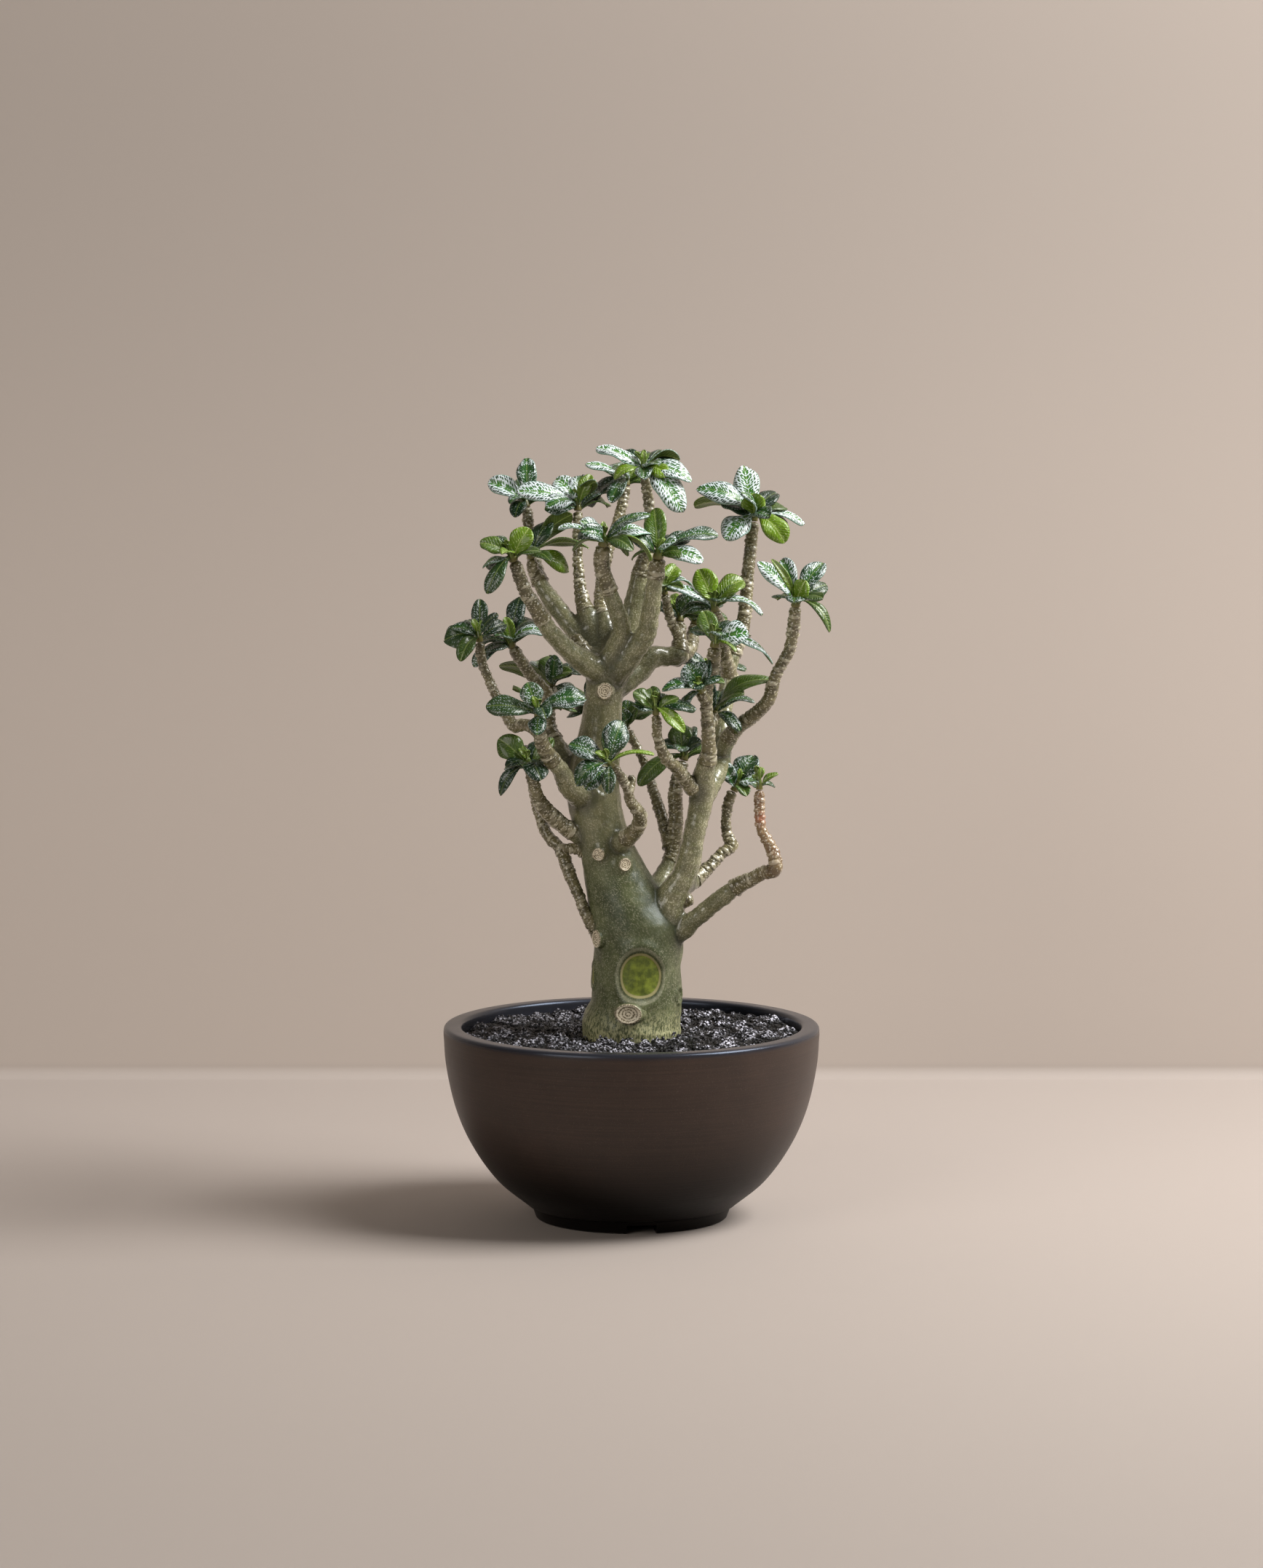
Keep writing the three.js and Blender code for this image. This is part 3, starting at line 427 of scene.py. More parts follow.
@dataclass(frozen=True)
class Axis:
    """A stem's axis at even steps: places, radii, lengths along it and its frame."""

    places: np.ndarray
    radii: np.ndarray
    along: np.ndarray
    tangents: np.ndarray
    normals: np.ndarray
    binormals: np.ndarray
    fine_steps: ClassVar[int] = 24

    @classmethod
    def through(cls, route: Rows, step: float) -> "Axis":
        """The axis of a route, sampled about every step millimetres.

        Args:
            route: Rows of x, y, z and radius.
            step: The distance between two samples.

        Returns:
            The sampled axis, with a frame that turns as little as it can.
        """
        fine = centripetal(np.array(route, float), cls.fine_steps)
        gaps = np.linalg.norm(np.diff(fine[:, :3], axis=0), axis=1)
        run = np.concatenate([[0], np.cumsum(gaps)])
        count = max(4, round(run[-1] / step)) + 1
        along = np.linspace(0, run[-1], count)
        rows = np.stack([np.interp(along, run, fine[:, k]) for k in range(4)], axis=1)
        tangents = unit(np.gradient(rows[:, :3], axis=0))
        normal = unit(np.cross(tangents[0], (0.0, 1.0, 0.02)))
        normals = []
        for tangent in tangents:
            normal = unit(normal - tangent * normal.dot(tangent))
            normals.append(normal)
        normals = np.array(normals)
        return cls(rows[:, :3], rows[:, 3], along, tangents, normals, np.cross(tangents, normals))

    @classmethod
    def joined(cls, axes: list["Axis"]) -> "Axis":
        """The samples of several axes one after another."""
        columns = ([getattr(axis, column.name) for axis in axes] for column in fields(cls))
        return cls(*map(np.concatenate, columns))

    def part(self, first: int, last: int | None) -> "Axis":
        """The stretch from one sample up to another."""
        return Axis(*(getattr(self, column.name)[first:last] for column in fields(self)))


# ---------- meshes ----------


def finished(shape: bmesh.types.BMesh, name: str) -> bpy.types.Mesh:
    """A mesh made of a bmesh, which is freed.

    Args:
        shape: The bmesh.
        name: The mesh's name.

    Returns:
        The mesh.
    """
    mesh = bpy.data.meshes.new(name)
    shape.to_mesh(mesh)
    shape.free()
    return mesh


def grid(across: int, along: int) -> bmesh.types.BMesh:
    """A flat grid of faces, across in x and along in y, both from 0 to 1.

    Args:
        across: How many faces it has in x.
        along: How many it has in y.

    Returns:
        The grid's bmesh.
    """
    shape = bmesh.new()
    bmesh.ops.create_grid(shape, x_segments=across, y_segments=along, size=0.5)
    bmesh.ops.translate(shape, verts=shape.verts, vec=(0.5, 0.5, 0))
    return shape


def places_of(mesh: bpy.types.Mesh) -> np.ndarray:
    """The places of a mesh's corners, one row each.

    Args:
        mesh: The mesh.

    Returns:
        Rows of x, y, z in the mesh's unit.
    """
    flat = np.empty(len(mesh.vertices) * 3, np.float32)
    mesh.vertices.foreach_get("co", flat)
    return flat.reshape(-1, 3).astype(float)


def set_places(mesh: bpy.types.Mesh, places: np.ndarray) -> None:
    """Moves a mesh's corners to new places."""
    mesh.vertices.foreach_set("co", places.astype(np.float32).ravel())


def mark(mesh: bpy.types.Mesh, name: str, values: np.ndarray) -> None:
    """Stores one number or one vector for each corner of a mesh.

    Args:
        mesh: The mesh.
        name: The attribute's name, which the finishes read.
        values: One value or one row of three for each corner.
    """
    vector = values.ndim == 2
    layer = mesh.attributes.new(name, "FLOAT_VECTOR" if vector else "FLOAT", "POINT")
    layer.data.foreach_set("vector" if vector else "value", values.astype(np.float32).ravel())


class Pile:
    """Many small meshes piled into one, with the marks of their corners kept in order."""

    def __init__(self) -> None:
        """Starts an empty pile."""
        self.shape = bmesh.new()
        self.marks: dict[str, list[np.ndarray]] = {}

    def add(self, mesh: bpy.types.Mesh, places: np.ndarray, **marks: np.ndarray) -> None:
        """Adds a copy of a mesh with its corners at new places.

        Args:
            mesh: The mesh whose faces are taken. Its own corners are moved.
            places: Where the copy's corners are, in millimetres.
            **marks: Values for the copy's corners, by name.
        """
        set_places(mesh, places * MM)
        self.shape.from_mesh(mesh)
        for name, values in marks.items():
            self.marks.setdefault(name, []).append(values)

    def mesh(self, name: str, weld: float = 0.0) -> bpy.types.Mesh:
        """The pile as one mesh.

        Args:
            name: The mesh's name.
            weld: Corners closer than this are merged and open rings closed; 0 leaves them.

        Returns:
            The new mesh, with its marks.
        """
        mesh = finished(self.shape, name)
        for label, values in self.marks.items():
            mark(mesh, label, np.concatenate(values))
        if weld:
            shape = bmesh.new()
            shape.from_mesh(mesh)
            bmesh.ops.remove_doubles(shape, verts=shape.verts, dist=weld)
            rims = [edge for edge in shape.edges if edge.is_boundary]
            bmesh.ops.holes_fill(shape, edges=rims)
            bmesh.ops.recalc_face_normals(shape, faces=shape.faces)
            shape.to_mesh(mesh)
            shape.free()
        return mesh


def placed(name: str, data: bpy.types.ID) -> bpy.types.Object:
    """A new object in the scene that holds a mesh, a lamp or a camera.

    Args:
        name: The object's name.
        data: The mesh, lamp or camera.

    Returns:
        The object.
    """
    piece = bpy.data.objects.new(name, data)
    bpy.context.scene.collection.objects.link(piece)
    return piece


def show(mesh: bpy.types.Mesh, slot: str, finish: bpy.types.Material, *nodes: str) -> None:
    """Puts a finished mesh in the scene as a piece that stands for CAD nodes.

    Args:
        mesh: The piece's mesh, in metres and in place.
        slot: The record's material slot; it is not used.
        finish: Its material.
        *nodes: The CAD nodes that it stands for.
    """
    piece = placed(mesh.name, mesh)
    mesh.materials.append(finish)
    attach(piece, "root")
    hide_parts(*nodes)
    log.info("%s: %d faces", mesh.name, len(mesh.polygons))


def applied(mesh: bpy.types.Mesh, name: str, *steps: tuple[str, dict]) -> bpy.types.Mesh:
    """A mesh with modifiers applied to it.

    Args:
        mesh: The mesh, which isn't changed.
        name: The changed copy's name.
        *steps: Each a modifier's type and its settings.

    Returns:
        The changed copy.
    """
    holder = placed("holder", mesh)
    for kind, settings in steps:
        modifier = holder.modifiers.new(kind.lower(), kind)
        for setting, value in settings.items():
            setattr(modifier, setting, value)
    ready = holder.evaluated_get(bpy.context.evaluated_depsgraph_get())
    made = bpy.data.meshes.new_from_object(ready)
    made.name = name
    bpy.data.objects.remove(holder)
    return made


def tube(axis: Axis, sides: int, radii: np.ndarray) -> tuple[bpy.types.Mesh, np.ndarray]:
    """An open tube round an axis.

    Args:
        axis: The axis.
        sides: How many sides it has.
        radii: The radius at each sample and side, or at each sample.

    Returns:
        A grid mesh, and the tube's places for it in millimetres. The seam's corners coincide.
    """
    rings = len(axis.places)
    mesh = finished(grid(sides, rings - 1), "grid")
    flat = places_of(mesh)
    side = np.rint(flat[:, 0] * sides).astype(int)
    ring = np.rint(flat[:, 1] * (rings - 1)).astype(int)
    angle = 2 * math.pi * (side % sides) / sides
    reach = radii[ring, side % sides] if radii.ndim == 2 else radii[ring]
    across, up = np.cos(angle)[:, None], np.sin(angle)[:, None]
    out = axis.normals[ring] * across + axis.binormals[ring] * up
    return mesh, axis.places[ring] + out * reach[:, None]


def turned(name: str, profile: list[tuple[float, float]], facets: int) -> bpy.types.Mesh:
    """A profile of radius and height in millimetres, closed on itself and turned about +Z.

    Args:
        name: The mesh's name.
        profile: Rows of radius and height, closed or from the axis to the axis.
        facets: How many steps the turn has.

    Returns:
        The turned mesh, in metres.
    """
    shape = bmesh.new()
    spots = [shape.verts.new((r * MM, 0, z * MM)) for r, z in profile]
    on_axis = profile[0][0] == 0
    pairs = list(zip(spots, spots[1:])) + ([] if on_axis else [(spots[-1], spots[0])])
    lines = [shape.edges.new(pair) for pair in pairs]
    bmesh.ops.spin(
        shape, geom=spots + lines, cent=(0, 0, 0), axis=(0, 0, 1), angle=2 * math.pi,
        steps=facets, use_merge=True, use_duplicate=False,
    )
    bmesh.ops.remove_doubles(shape, verts=shape.verts, dist=0.0005 * MM)
    bmesh.ops.recalc_face_normals(shape, faces=shape.faces)
    mesh = finished(shape, name)
    mesh.shade_smooth()
    return mesh


def scrambled(phase: np.ndarray) -> np.ndarray:
    """Values from 0 to 1 that jump about as the phase changes."""
    wild = np.sin(phase) * 43758.5453
    return wild - np.floor(wild)


def swell(places: np.ndarray, size: float, seed: int) -> np.ndarray:
    """Smooth noise between -1 and 1.

    Args:
        places: Rows of x, y, z.
        size: How wide its lumps are, in the places' unit.
        seed: Which noise.

    Returns:
        One value for each row.
    """
    cell = np.floor(places / size)
    share = places / size - cell
    share = share * share * (3 - 2 * share)
    total = np.zeros(len(places))
    for corner in np.ndindex(2, 2, 2):
        value = scrambled((cell + corner) @ (127.1, 311.7, 74.7) + 17.3 * seed)
        total += (value * 2 - 1) * np.prod(np.where(corner, share, 1 - share), axis=1)
    return total


def clods(places: np.ndarray, size: float, seed: int) -> np.ndarray:
    """How high uneven clods stand at places in a plane, 0 in the cracks between them and up to 1.

    Args:
        places: Rows of x and y.
        size: How wide a clod is.
        seed: Which clods.

    Returns:
        One value for each row.
    """
    cell = np.floor(places / size)
    near = np.full(len(places), 9.0)
    second = near.copy()
    tall = np.zeros(len(places))
    spread = np.array([[127.1, 269.5, 419.2], [311.7, 183.3, 371.9]])
    for step in np.ndindex(3, 3):
        corner = cell + np.array(step) - 1
        seat = scrambled(corner @ spread + 17.3 * seed)
        far = np.linalg.norm(corner + seat[:, :2] - places / size, axis=1)
        second = np.minimum(second, np.maximum(near, far))
        tall = np.where(far < near, seat[:, 2], tall)
        near = np.minimum(near, far)
    return np.clip((second - near) / 0.6, 0, 1) ** 0.6 * (0.4 + 0.6 * tall)


# ---------- finishes ----------


def tone(red: int, green: int, blue: int) -> Colour:
    """A colour as the eye reads it, 0 to 255, as light values.

    Args:
        red: How red it is.
        green: How green it is.
        blue: How blue it is.

    Returns:
        Its three light values, 0 to 1.
    """
    shares = np.array((red, green, blue)) / 255
    bright = ((shares + 0.055) / 1.055) ** 2.4
    return tuple(np.where(shares < 0.04045, shares / 12.92, bright).tolist())


class Shader:
    """A procedural material while its nodes are laid out."""

    def __init__(self, name: str) -> None:
        """Starts a material; place is the place on the part in millimetres.

        Args:
            name: The material's name.
        """
        self.material = bpy.data.materials.new(name)
        self.material.use_nodes = True
        self.nodes = self.material.node_tree.nodes
        self.surface = self.nodes["Principled BSDF"]
        self.place = self.scaled(self.nodes.new("ShaderNodeTexCoord").outputs["Object"], 1 / MM)

    def feed(self, socket: Socket, value: object) -> None:
        """Links an output to a socket, or sets a colour, vector or number on it.

        Args:
            socket: The input.
            value: An output, colour, vector or number.
        """
        if isinstance(value, bpy.types.NodeSocket):
            self.material.node_tree.links.new(value, socket)
        elif socket.type == "RGBA":
            socket.default_value = (*value, 1)
        else:
            socket.default_value = value

    def node(self, kind: str, *values: object, **settings: object) -> bpy.types.Node:
        """A new node with its first inputs fed.

        Args:
            kind: The node's type, without its prefix.
            *values: What its first inputs get; None leaves one as it is.
            **settings: The node's own settings.

        Returns:
            The node.
        """
        made = self.nodes.new("ShaderNode" + kind)
        for name, value in settings.items():
            setattr(made, name, value)
        for socket, value in zip(made.inputs, values):
            if value is not None:
                self.feed(socket, value)
        return made

    def scaled(self, vector: Socket, *factors: float) -> Socket:
        """A vector times one factor or three."""
        factor = factors * 3 if len(factors) == 1 else factors
        return self.node("VectorMath", vector, factor, operation="MULTIPLY").outputs[0]

    def maths(self, operation: str, *values: object) -> Socket:
        """A sum, product or the like of numbers."""
        return self.node("Math", *values, operation=operation).outputs[0]

    def times(self, *values: object) -> Socket:
        """The product of two or more numbers.

        Args:
            *values: Outputs or numbers.

        Returns:
            Their product.
        """
        product = self.maths("MULTIPLY", *values[:2])
        for value in values[2:]:
            product = self.maths("MULTIPLY", product, value)
        return product

    def line(self, value: object, slope: float | Socket, start: object) -> Socket:
        """A value times a slope, and a start added."""
        return self.maths("MULTIPLY_ADD", value, slope, start)

    def step(self, value: Socket, low: float, high: float) -> Socket:
        """A soft step from 0 at low to 1 at high, which may lie below low."""
        return self.node("MapRange", value, low, high, interpolation_type="SMOOTHSTEP").outputs[0]

    def noise(self, place: Socket, size: float, detail: float = 3.0) -> Socket:
        """Cloudy noise from 0 to 1 with lumps of a size in the place's unit."""
        return self.node("TexNoise", place, None, 1 / size, detail, 0.6).outputs[0]

    def cells(self, place: Socket, size: float) -> Socket:
        """How far the nearest of many scattered cells is, in cells."""
        return self.node("TexVoronoi", place, None, 1 / size).outputs[0]

    def rows(self, place: Socket, size: float, scatter: float) -> Socket:
        """How far the nearest of many cells in a plane is, in cells, which stand nearly in rows.

        Args:
            place: Where the cells are looked up.
            size: How wide a cell is in the place's unit.
            scatter: How far the cells stray from a grid, 0 to 1.

        Returns:
            The distance.
        """
        made = self.node("TexVoronoi", place, None, 1 / size, voronoi_dimensions="2D")
        self.feed(made.inputs["Randomness"], scatter)
        return made.outputs[0]

    def mix(self, share: object, first: object, second: object) -> Socket:
        """A blend of two colours.

        Args:
            share: How much of the second colour shows.
            first: The first colour.
            second: The second colour.

        Returns:
            The blend.
        """
        made = self.node("Mix", share, data_type="RGBA")
        self.feed(made.inputs[6], first)
        self.feed(made.inputs[7], second)
        return made.outputs[2]

    def mark(self, name: str, output: str = "Fac") -> Socket:
        """What a piece's corners are marked with."""
        return self.node("Attribute", attribute_name=name).outputs[output]

    def relief(self, height: Socket, depth: float) -> None:
        """Gives the surface a fine relief, depth millimetres deep.

        Args:
            height: The relief's height, 0 to 1.
            depth: How deep it is at most.
        """
        bump = self.node("Bump", 1.0, depth * MM)
        self.feed(bump.inputs["Height"], height)
        self.feed(self.surface.inputs["Normal"], bump.outputs[0])

    def made(self, colour: object, roughness: object, **others: object) -> bpy.types.Material:
        """The finished material.

        Args:
            colour: Its base colour.
            roughness: How matt it is.
            **others: Further inputs of the surface, with _ for a space.

        Returns:
            The material.
        """
        self.feed(self.surface.inputs["Base Color"], colour)
        self.feed(self.surface.inputs["Roughness"], roughness)
        for name, value in others.items():
            self.feed(self.surface.inputs[name.replace("_", " ")], value)
        return self.material


@dataclass(frozen=True)
class ClayFinish:
    """Satin black stoneware with fine turning lines, painted shade darkening it toward the foot,
    and a painted slate-blue sheen on the smooth lip.
    """

    body: Colour = tone(30, 24, 22)
    warm: Colour = tone(74, 57, 48)
    speckle: Colour = tone(96, 84, 74)
    # Painted shade near the foot.
    foot: Colour = tone(8, 6, 5)
    # Painted slate sheen on the lip.
    lip: Colour = tone(38, 42, 50)
    line: float = 0.9
    stretch: float = 0.012
    lip_height: float = 101.0

    def make(self) -> bpy.types.Material:
        """The clay's material.

        Returns:
            The material.
        """
        s = Shader("clay")
        x, y, z = s.node("SeparateXYZ", s.place).outputs
        radius = s.maths("SQRT", s.maths("ADD", s.times(x, x), s.times(y, y)))
        along = s.maths("ADD", radius, z)
        turned = s.node("CombineXYZ", s.times(x, self.stretch), s.times(y, self.stretch), along)
        lines = s.noise(turned.outputs[0], self.line, 4)
        cloud = s.noise(s.place, 22)
        speck = s.noise(s.place, 0.6, 1)
        shade = s.line(s.step(lines, 0.3, 0.8), 0.22, s.line(cloud, 0.4, 0.1))
        colour = s.mix(shade, self.body, self.warm)
        colour = s.mix(s.times(s.step(speck, 0.6, 0.75), 0.25), colour, self.speckle)
        # Painted shade: the clay darkens toward the foot, where the bowl's lower side lies in
        # shadow.
        low = s.step(z, 66, 14)
        colour = s.mix(low, colour, self.foot)
        # Painted sheen: the lip and the top of the inner wall are painted slate blue-grey for the
        # light they reflect.
        inside = s.times(s.step(z, 88, 90), s.step(radius, 97, 95))
        lip = s.maths("MAXIMUM", s.step(z, self.lip_height, self.lip_height + 3), inside)
        colour = s.mix(s.times(lip, 0.8), colour, self.lip)
        s.relief(s.line(speck, 0.35, lines), 0.07)
        rough = s.line(cloud, 0.12, s.line(lip, -0.16, 0.34))
        tint = s.mix(lip, (1.0, 0.94, 0.9), (0.5, 0.62, 0.85))
        sheen = s.line(low, -0.28, 0.42)
        return s.made(colour, rough, Specular_IOR_Level=sheen, Specular_Tint=tint)


@dataclass(frozen=True)
class GritFinish:
    """Black lava grit with painted shade in the clefts between its clods, and painted highlight
    glints on its grains' tops, more of them on the lit right side.
    """

    stone: Colour = tone(14, 14, 18)
    # Painted shade in the clefts between the clods.
    cleft_shade: Colour = tone(2, 2, 3)
    # Painted highlight glints on the grains.
    painted_glint: Colour = tone(218, 218, 232)
    grain: float = 1.5

    def make(self) -> bpy.types.Material:
        """The grit's material, which reads how high its clods stand.

        Returns:
            The material.
        """
        s = Shader("lava_grit")
        grains = s.cells(s.place, self.grain)
        tops = s.step(grains, 0.6, 0.35)
        bright = s.step(s.noise(s.place, 2.2, 1), 0.38, 0.52)
        # Painted light: more glints toward the right, where the lamp stands.
        east = s.step(s.node("SeparateXYZ", s.place).outputs[0], -50, 60)
        patch = s.line(s.step(s.noise(s.place, 9, 2), 0.38, 0.6), 0.35, 0.3)
        patch = s.line(east, 0.35, patch)
        # Painted highlights: pale glints on the grains' tops, only on the clods' tops.
        top = s.step(s.mark("crest"), 0.28, 0.48)
        share = s.times(s.times(tops, bright), s.times(patch, top))
        s.relief(s.times(grains, -1.0), 0.8)
        # Painted shade: the clefts between the clods are near black.
        stone = s.mix(s.step(s.mark("crest"), 0.24, 0.44), self.cleft_shade, self.stone)
        return s.made(s.mix(share, stone, self.painted_glint), 0.5, Specular_IOR_Level=0.3)


@dataclass(frozen=True)
class TrunkFinish:
    """Pearly grey-green bark with fine pale flecks along its grain, painted shade in its creases, a
    painted shadow of the crown below the fork, and mossy or corky scars.
    """

    bark: Colour = tone(102, 108, 72)
    deep: Colour = tone(66, 72, 40)
    limb: Colour = tone(138, 134, 97)
    pale: Colour = tone(216, 212, 184)
    # Painted shade in the creases.
    crease_shade: Colour = tone(42, 42, 22)
    # Painted shadow of the crown below the fork.
    shade: Colour = tone(52, 54, 30)
    flare: Colour = tone(212, 208, 160)
    cork: Colour = tone(228, 216, 190)
    crack: Colour = tone(116, 104, 78)
    moss: Colour = tone(132, 144, 50)
    deep_moss: Colour = tone(80, 90, 30)
    callus: Colour = tone(158, 150, 104)
    furrow: Colour = tone(60, 64, 34)

    def skin(self, s: Shader, pearly: Socket, thin: Socket, dash: Socket) -> Socket:
        """The bark's colour where it is sound, with painted shade in its creases and a painted
        shadow below the fork.

        Args:
            s: The material being made.
            pearly: Where the bark is pearly, 0 to 1.
            thin: Where the stem is thin, 0 to 1.
            dash: Noise stretched along the grain.

        Returns:
            The colour.
        """
        grain, thick = s.mark("stem", "Vector"), s.mark("thick")
        east, _, high = s.node("SeparateXYZ", s.place).outputs
        pits = s.cells(s.scaled(grain, 1, 1, 1.3), 1.3)
        cloud = s.noise(s.place, 14)
        colour = s.mix(s.step(cloud, 0.3, 0.7), self.deep, self.bark)
        colour = s.mix(s.times(pearly, 0.75), colour, self.limb)
        flecks = s.times(s.step(dash, 0.5, 0.62), s.line(thin, 0.14, 0.14))
        colour = s.mix(flecks, colour, self.pale)
        dots = s.times(s.step(pits, 0.36, 0.24), s.line(thin, 0.3, 0.25))
        colour = s.mix(dots, colour, self.pale)
        mottle = s.step(s.noise(s.place, 6, 2), 0.62, 0.36)
        colour = s.mix(s.times(mottle, 0.35), colour, self.deep)
        # Painted shade in the creases where the limbs meet the trunk and each other.
        colour = s.mix(s.times(s.mark("crease_shade"), 0.6), colour, self.crease_shade)
        # Painted shadow of the crown on the trunk's right side below the fork.
        shadow_belt = s.times(s.step(high, 192, 174), s.step(high, 146, 160))
        shaded = s.times(shadow_belt, s.step(east, -4, 10), s.step(thick, 14, 19))
        colour = s.mix(s.times(shaded, 0.55), colour, self.shade)
        streak = s.noise(s.scaled(grain, 1, 1, 0.45), 1.1, 3)
        flare = s.times(s.step(high, 122, 102), s.step(streak, 0.42, 0.58))
        return s.mix(s.times(flare, 0.58), colour, self.flare)

    def healed(self, s: Shader, rho: Socket, skin: Socket) -> Socket:
        """The colour inside a scar: rings of cork, or moss in a callus.

        Args:
            s: The material being made.
            rho: How far out in the scar a place is, 1 at its edge.
            skin: The colour of the bark round it.

        Returns:
            The colour.
        """
        rings = s.maths("SINE", s.times(rho, 26))
        crack = s.step(s.line(rings, 0.12, s.noise(s.place, 0.9)), 0.36, 0.56)
        corky = s.mix(crack, self.crack, self.cork)
        mossy = s.mix(s.step(s.noise(s.place, 4, 4), 0.3, 0.72), self.deep_moss, self.moss)
        heart = s.mix(s.step(rho, 0.68, 0.72), mossy, self.callus)
        heart = s.mix(s.step(rho, 0.76, 0.8), heart, s.mix(0.5, skin, self.furrow))
        heart = s.mix(s.step(rho, 0.82, 0.9), heart, s.mix(0.2, skin, self.pale))
        return s.mix(s.mark("moss"), corky, heart)

    def make(self) -> bpy.types.Material:
        """The thick wood's material, which reads the caudex's marks.

        Returns:
            The material.
        """
        s = Shader("bark_trunk")
        grain = s.mark("stem", "Vector")
        dash = s.noise(s.scaled(grain, 1, 1, 0.5), 0.8, 2)
        band = s.noise(s.scaled(grain, 0.1, 0.1, 1), 1.5, 3)
        thin = s.step(s.mark("thick"), 15, 8)
        high = s.node("SeparateXYZ", s.place).outputs[2]
        pearly = s.maths("MAXIMUM", thin, s.step(high, 180, 225))
        skin = self.skin(s, pearly, thin, dash)
        rho = s.mark("scar")
        colour = s.mix(s.step(rho, 1.0, 0.94), skin, self.healed(s, rho, skin))
        s.relief(s.line(dash, 0.3, s.times(band, thin)), 0.3)
        return s.made(
            colour, 0.45, Specular_IOR_Level=0.45, Specular_Tint=(0.82, 0.95, 1.0),
            Coat_Weight=s.line(pearly, 0.9, 0.08), Coat_Roughness=0.15,
        )


@dataclass(frozen=True)
class TwigFinish:
    """Glossy young wood, wrinkled across and dotted with pale old leaf scars."""

    plate: Colour = tone(226, 220, 196)
    olive: Colour = tone(122, 115, 80)
    dusk: Colour = tone(84, 78, 48)
    groove: Colour = tone(50, 43, 26)
    rose: Colour = tone(190, 112, 84)

    def make(self) -> bpy.types.Material:
        """The twigs' material, which reads their marks.

        Returns:
            The material.
        """
        s = Shader("bark_twig")
        scar = s.mark("plate")
        grain = s.mark("stem", "Vector")
        young = s.step(s.mark("thick"), 6.5, 4.5)
        colour = s.mix(s.step(s.noise(s.place, 7), 0.35, 0.65), self.dusk, self.olive)
        lit = s.times(s.step(s.mark("tint"), 0.5, 1.0), 0.45)
        colour = s.mix(s.times(s.step(scar, 0.3, 0.9), lit), colour, self.plate)
        dark = s.times(s.step(scar, 0.25, 0.0), s.line(young, 0.27, 0.08))
        colour = s.mix(dark, colour, self.groove)
        colour = s.mix(s.mark("rosy"), colour, self.rose)
        dots = s.step(s.cells(s.scaled(grain, 0.8, 0.8, 1.2), 1.3), 0.38, 0.26)
        colour = s.mix(s.times(dots, 0.55), colour, self.plate)
        wrinkle = s.noise(s.scaled(grain, 0.18, 0.18, 1), 1.1, 3)
        s.relief(s.maths("ADD", wrinkle, s.times(scar, 0.4)), 0.45)
        return s.made(colour, 0.42, Specular_IOR_Level=0.5, Coat_Weight=0.9, Coat_Roughness=0.16)


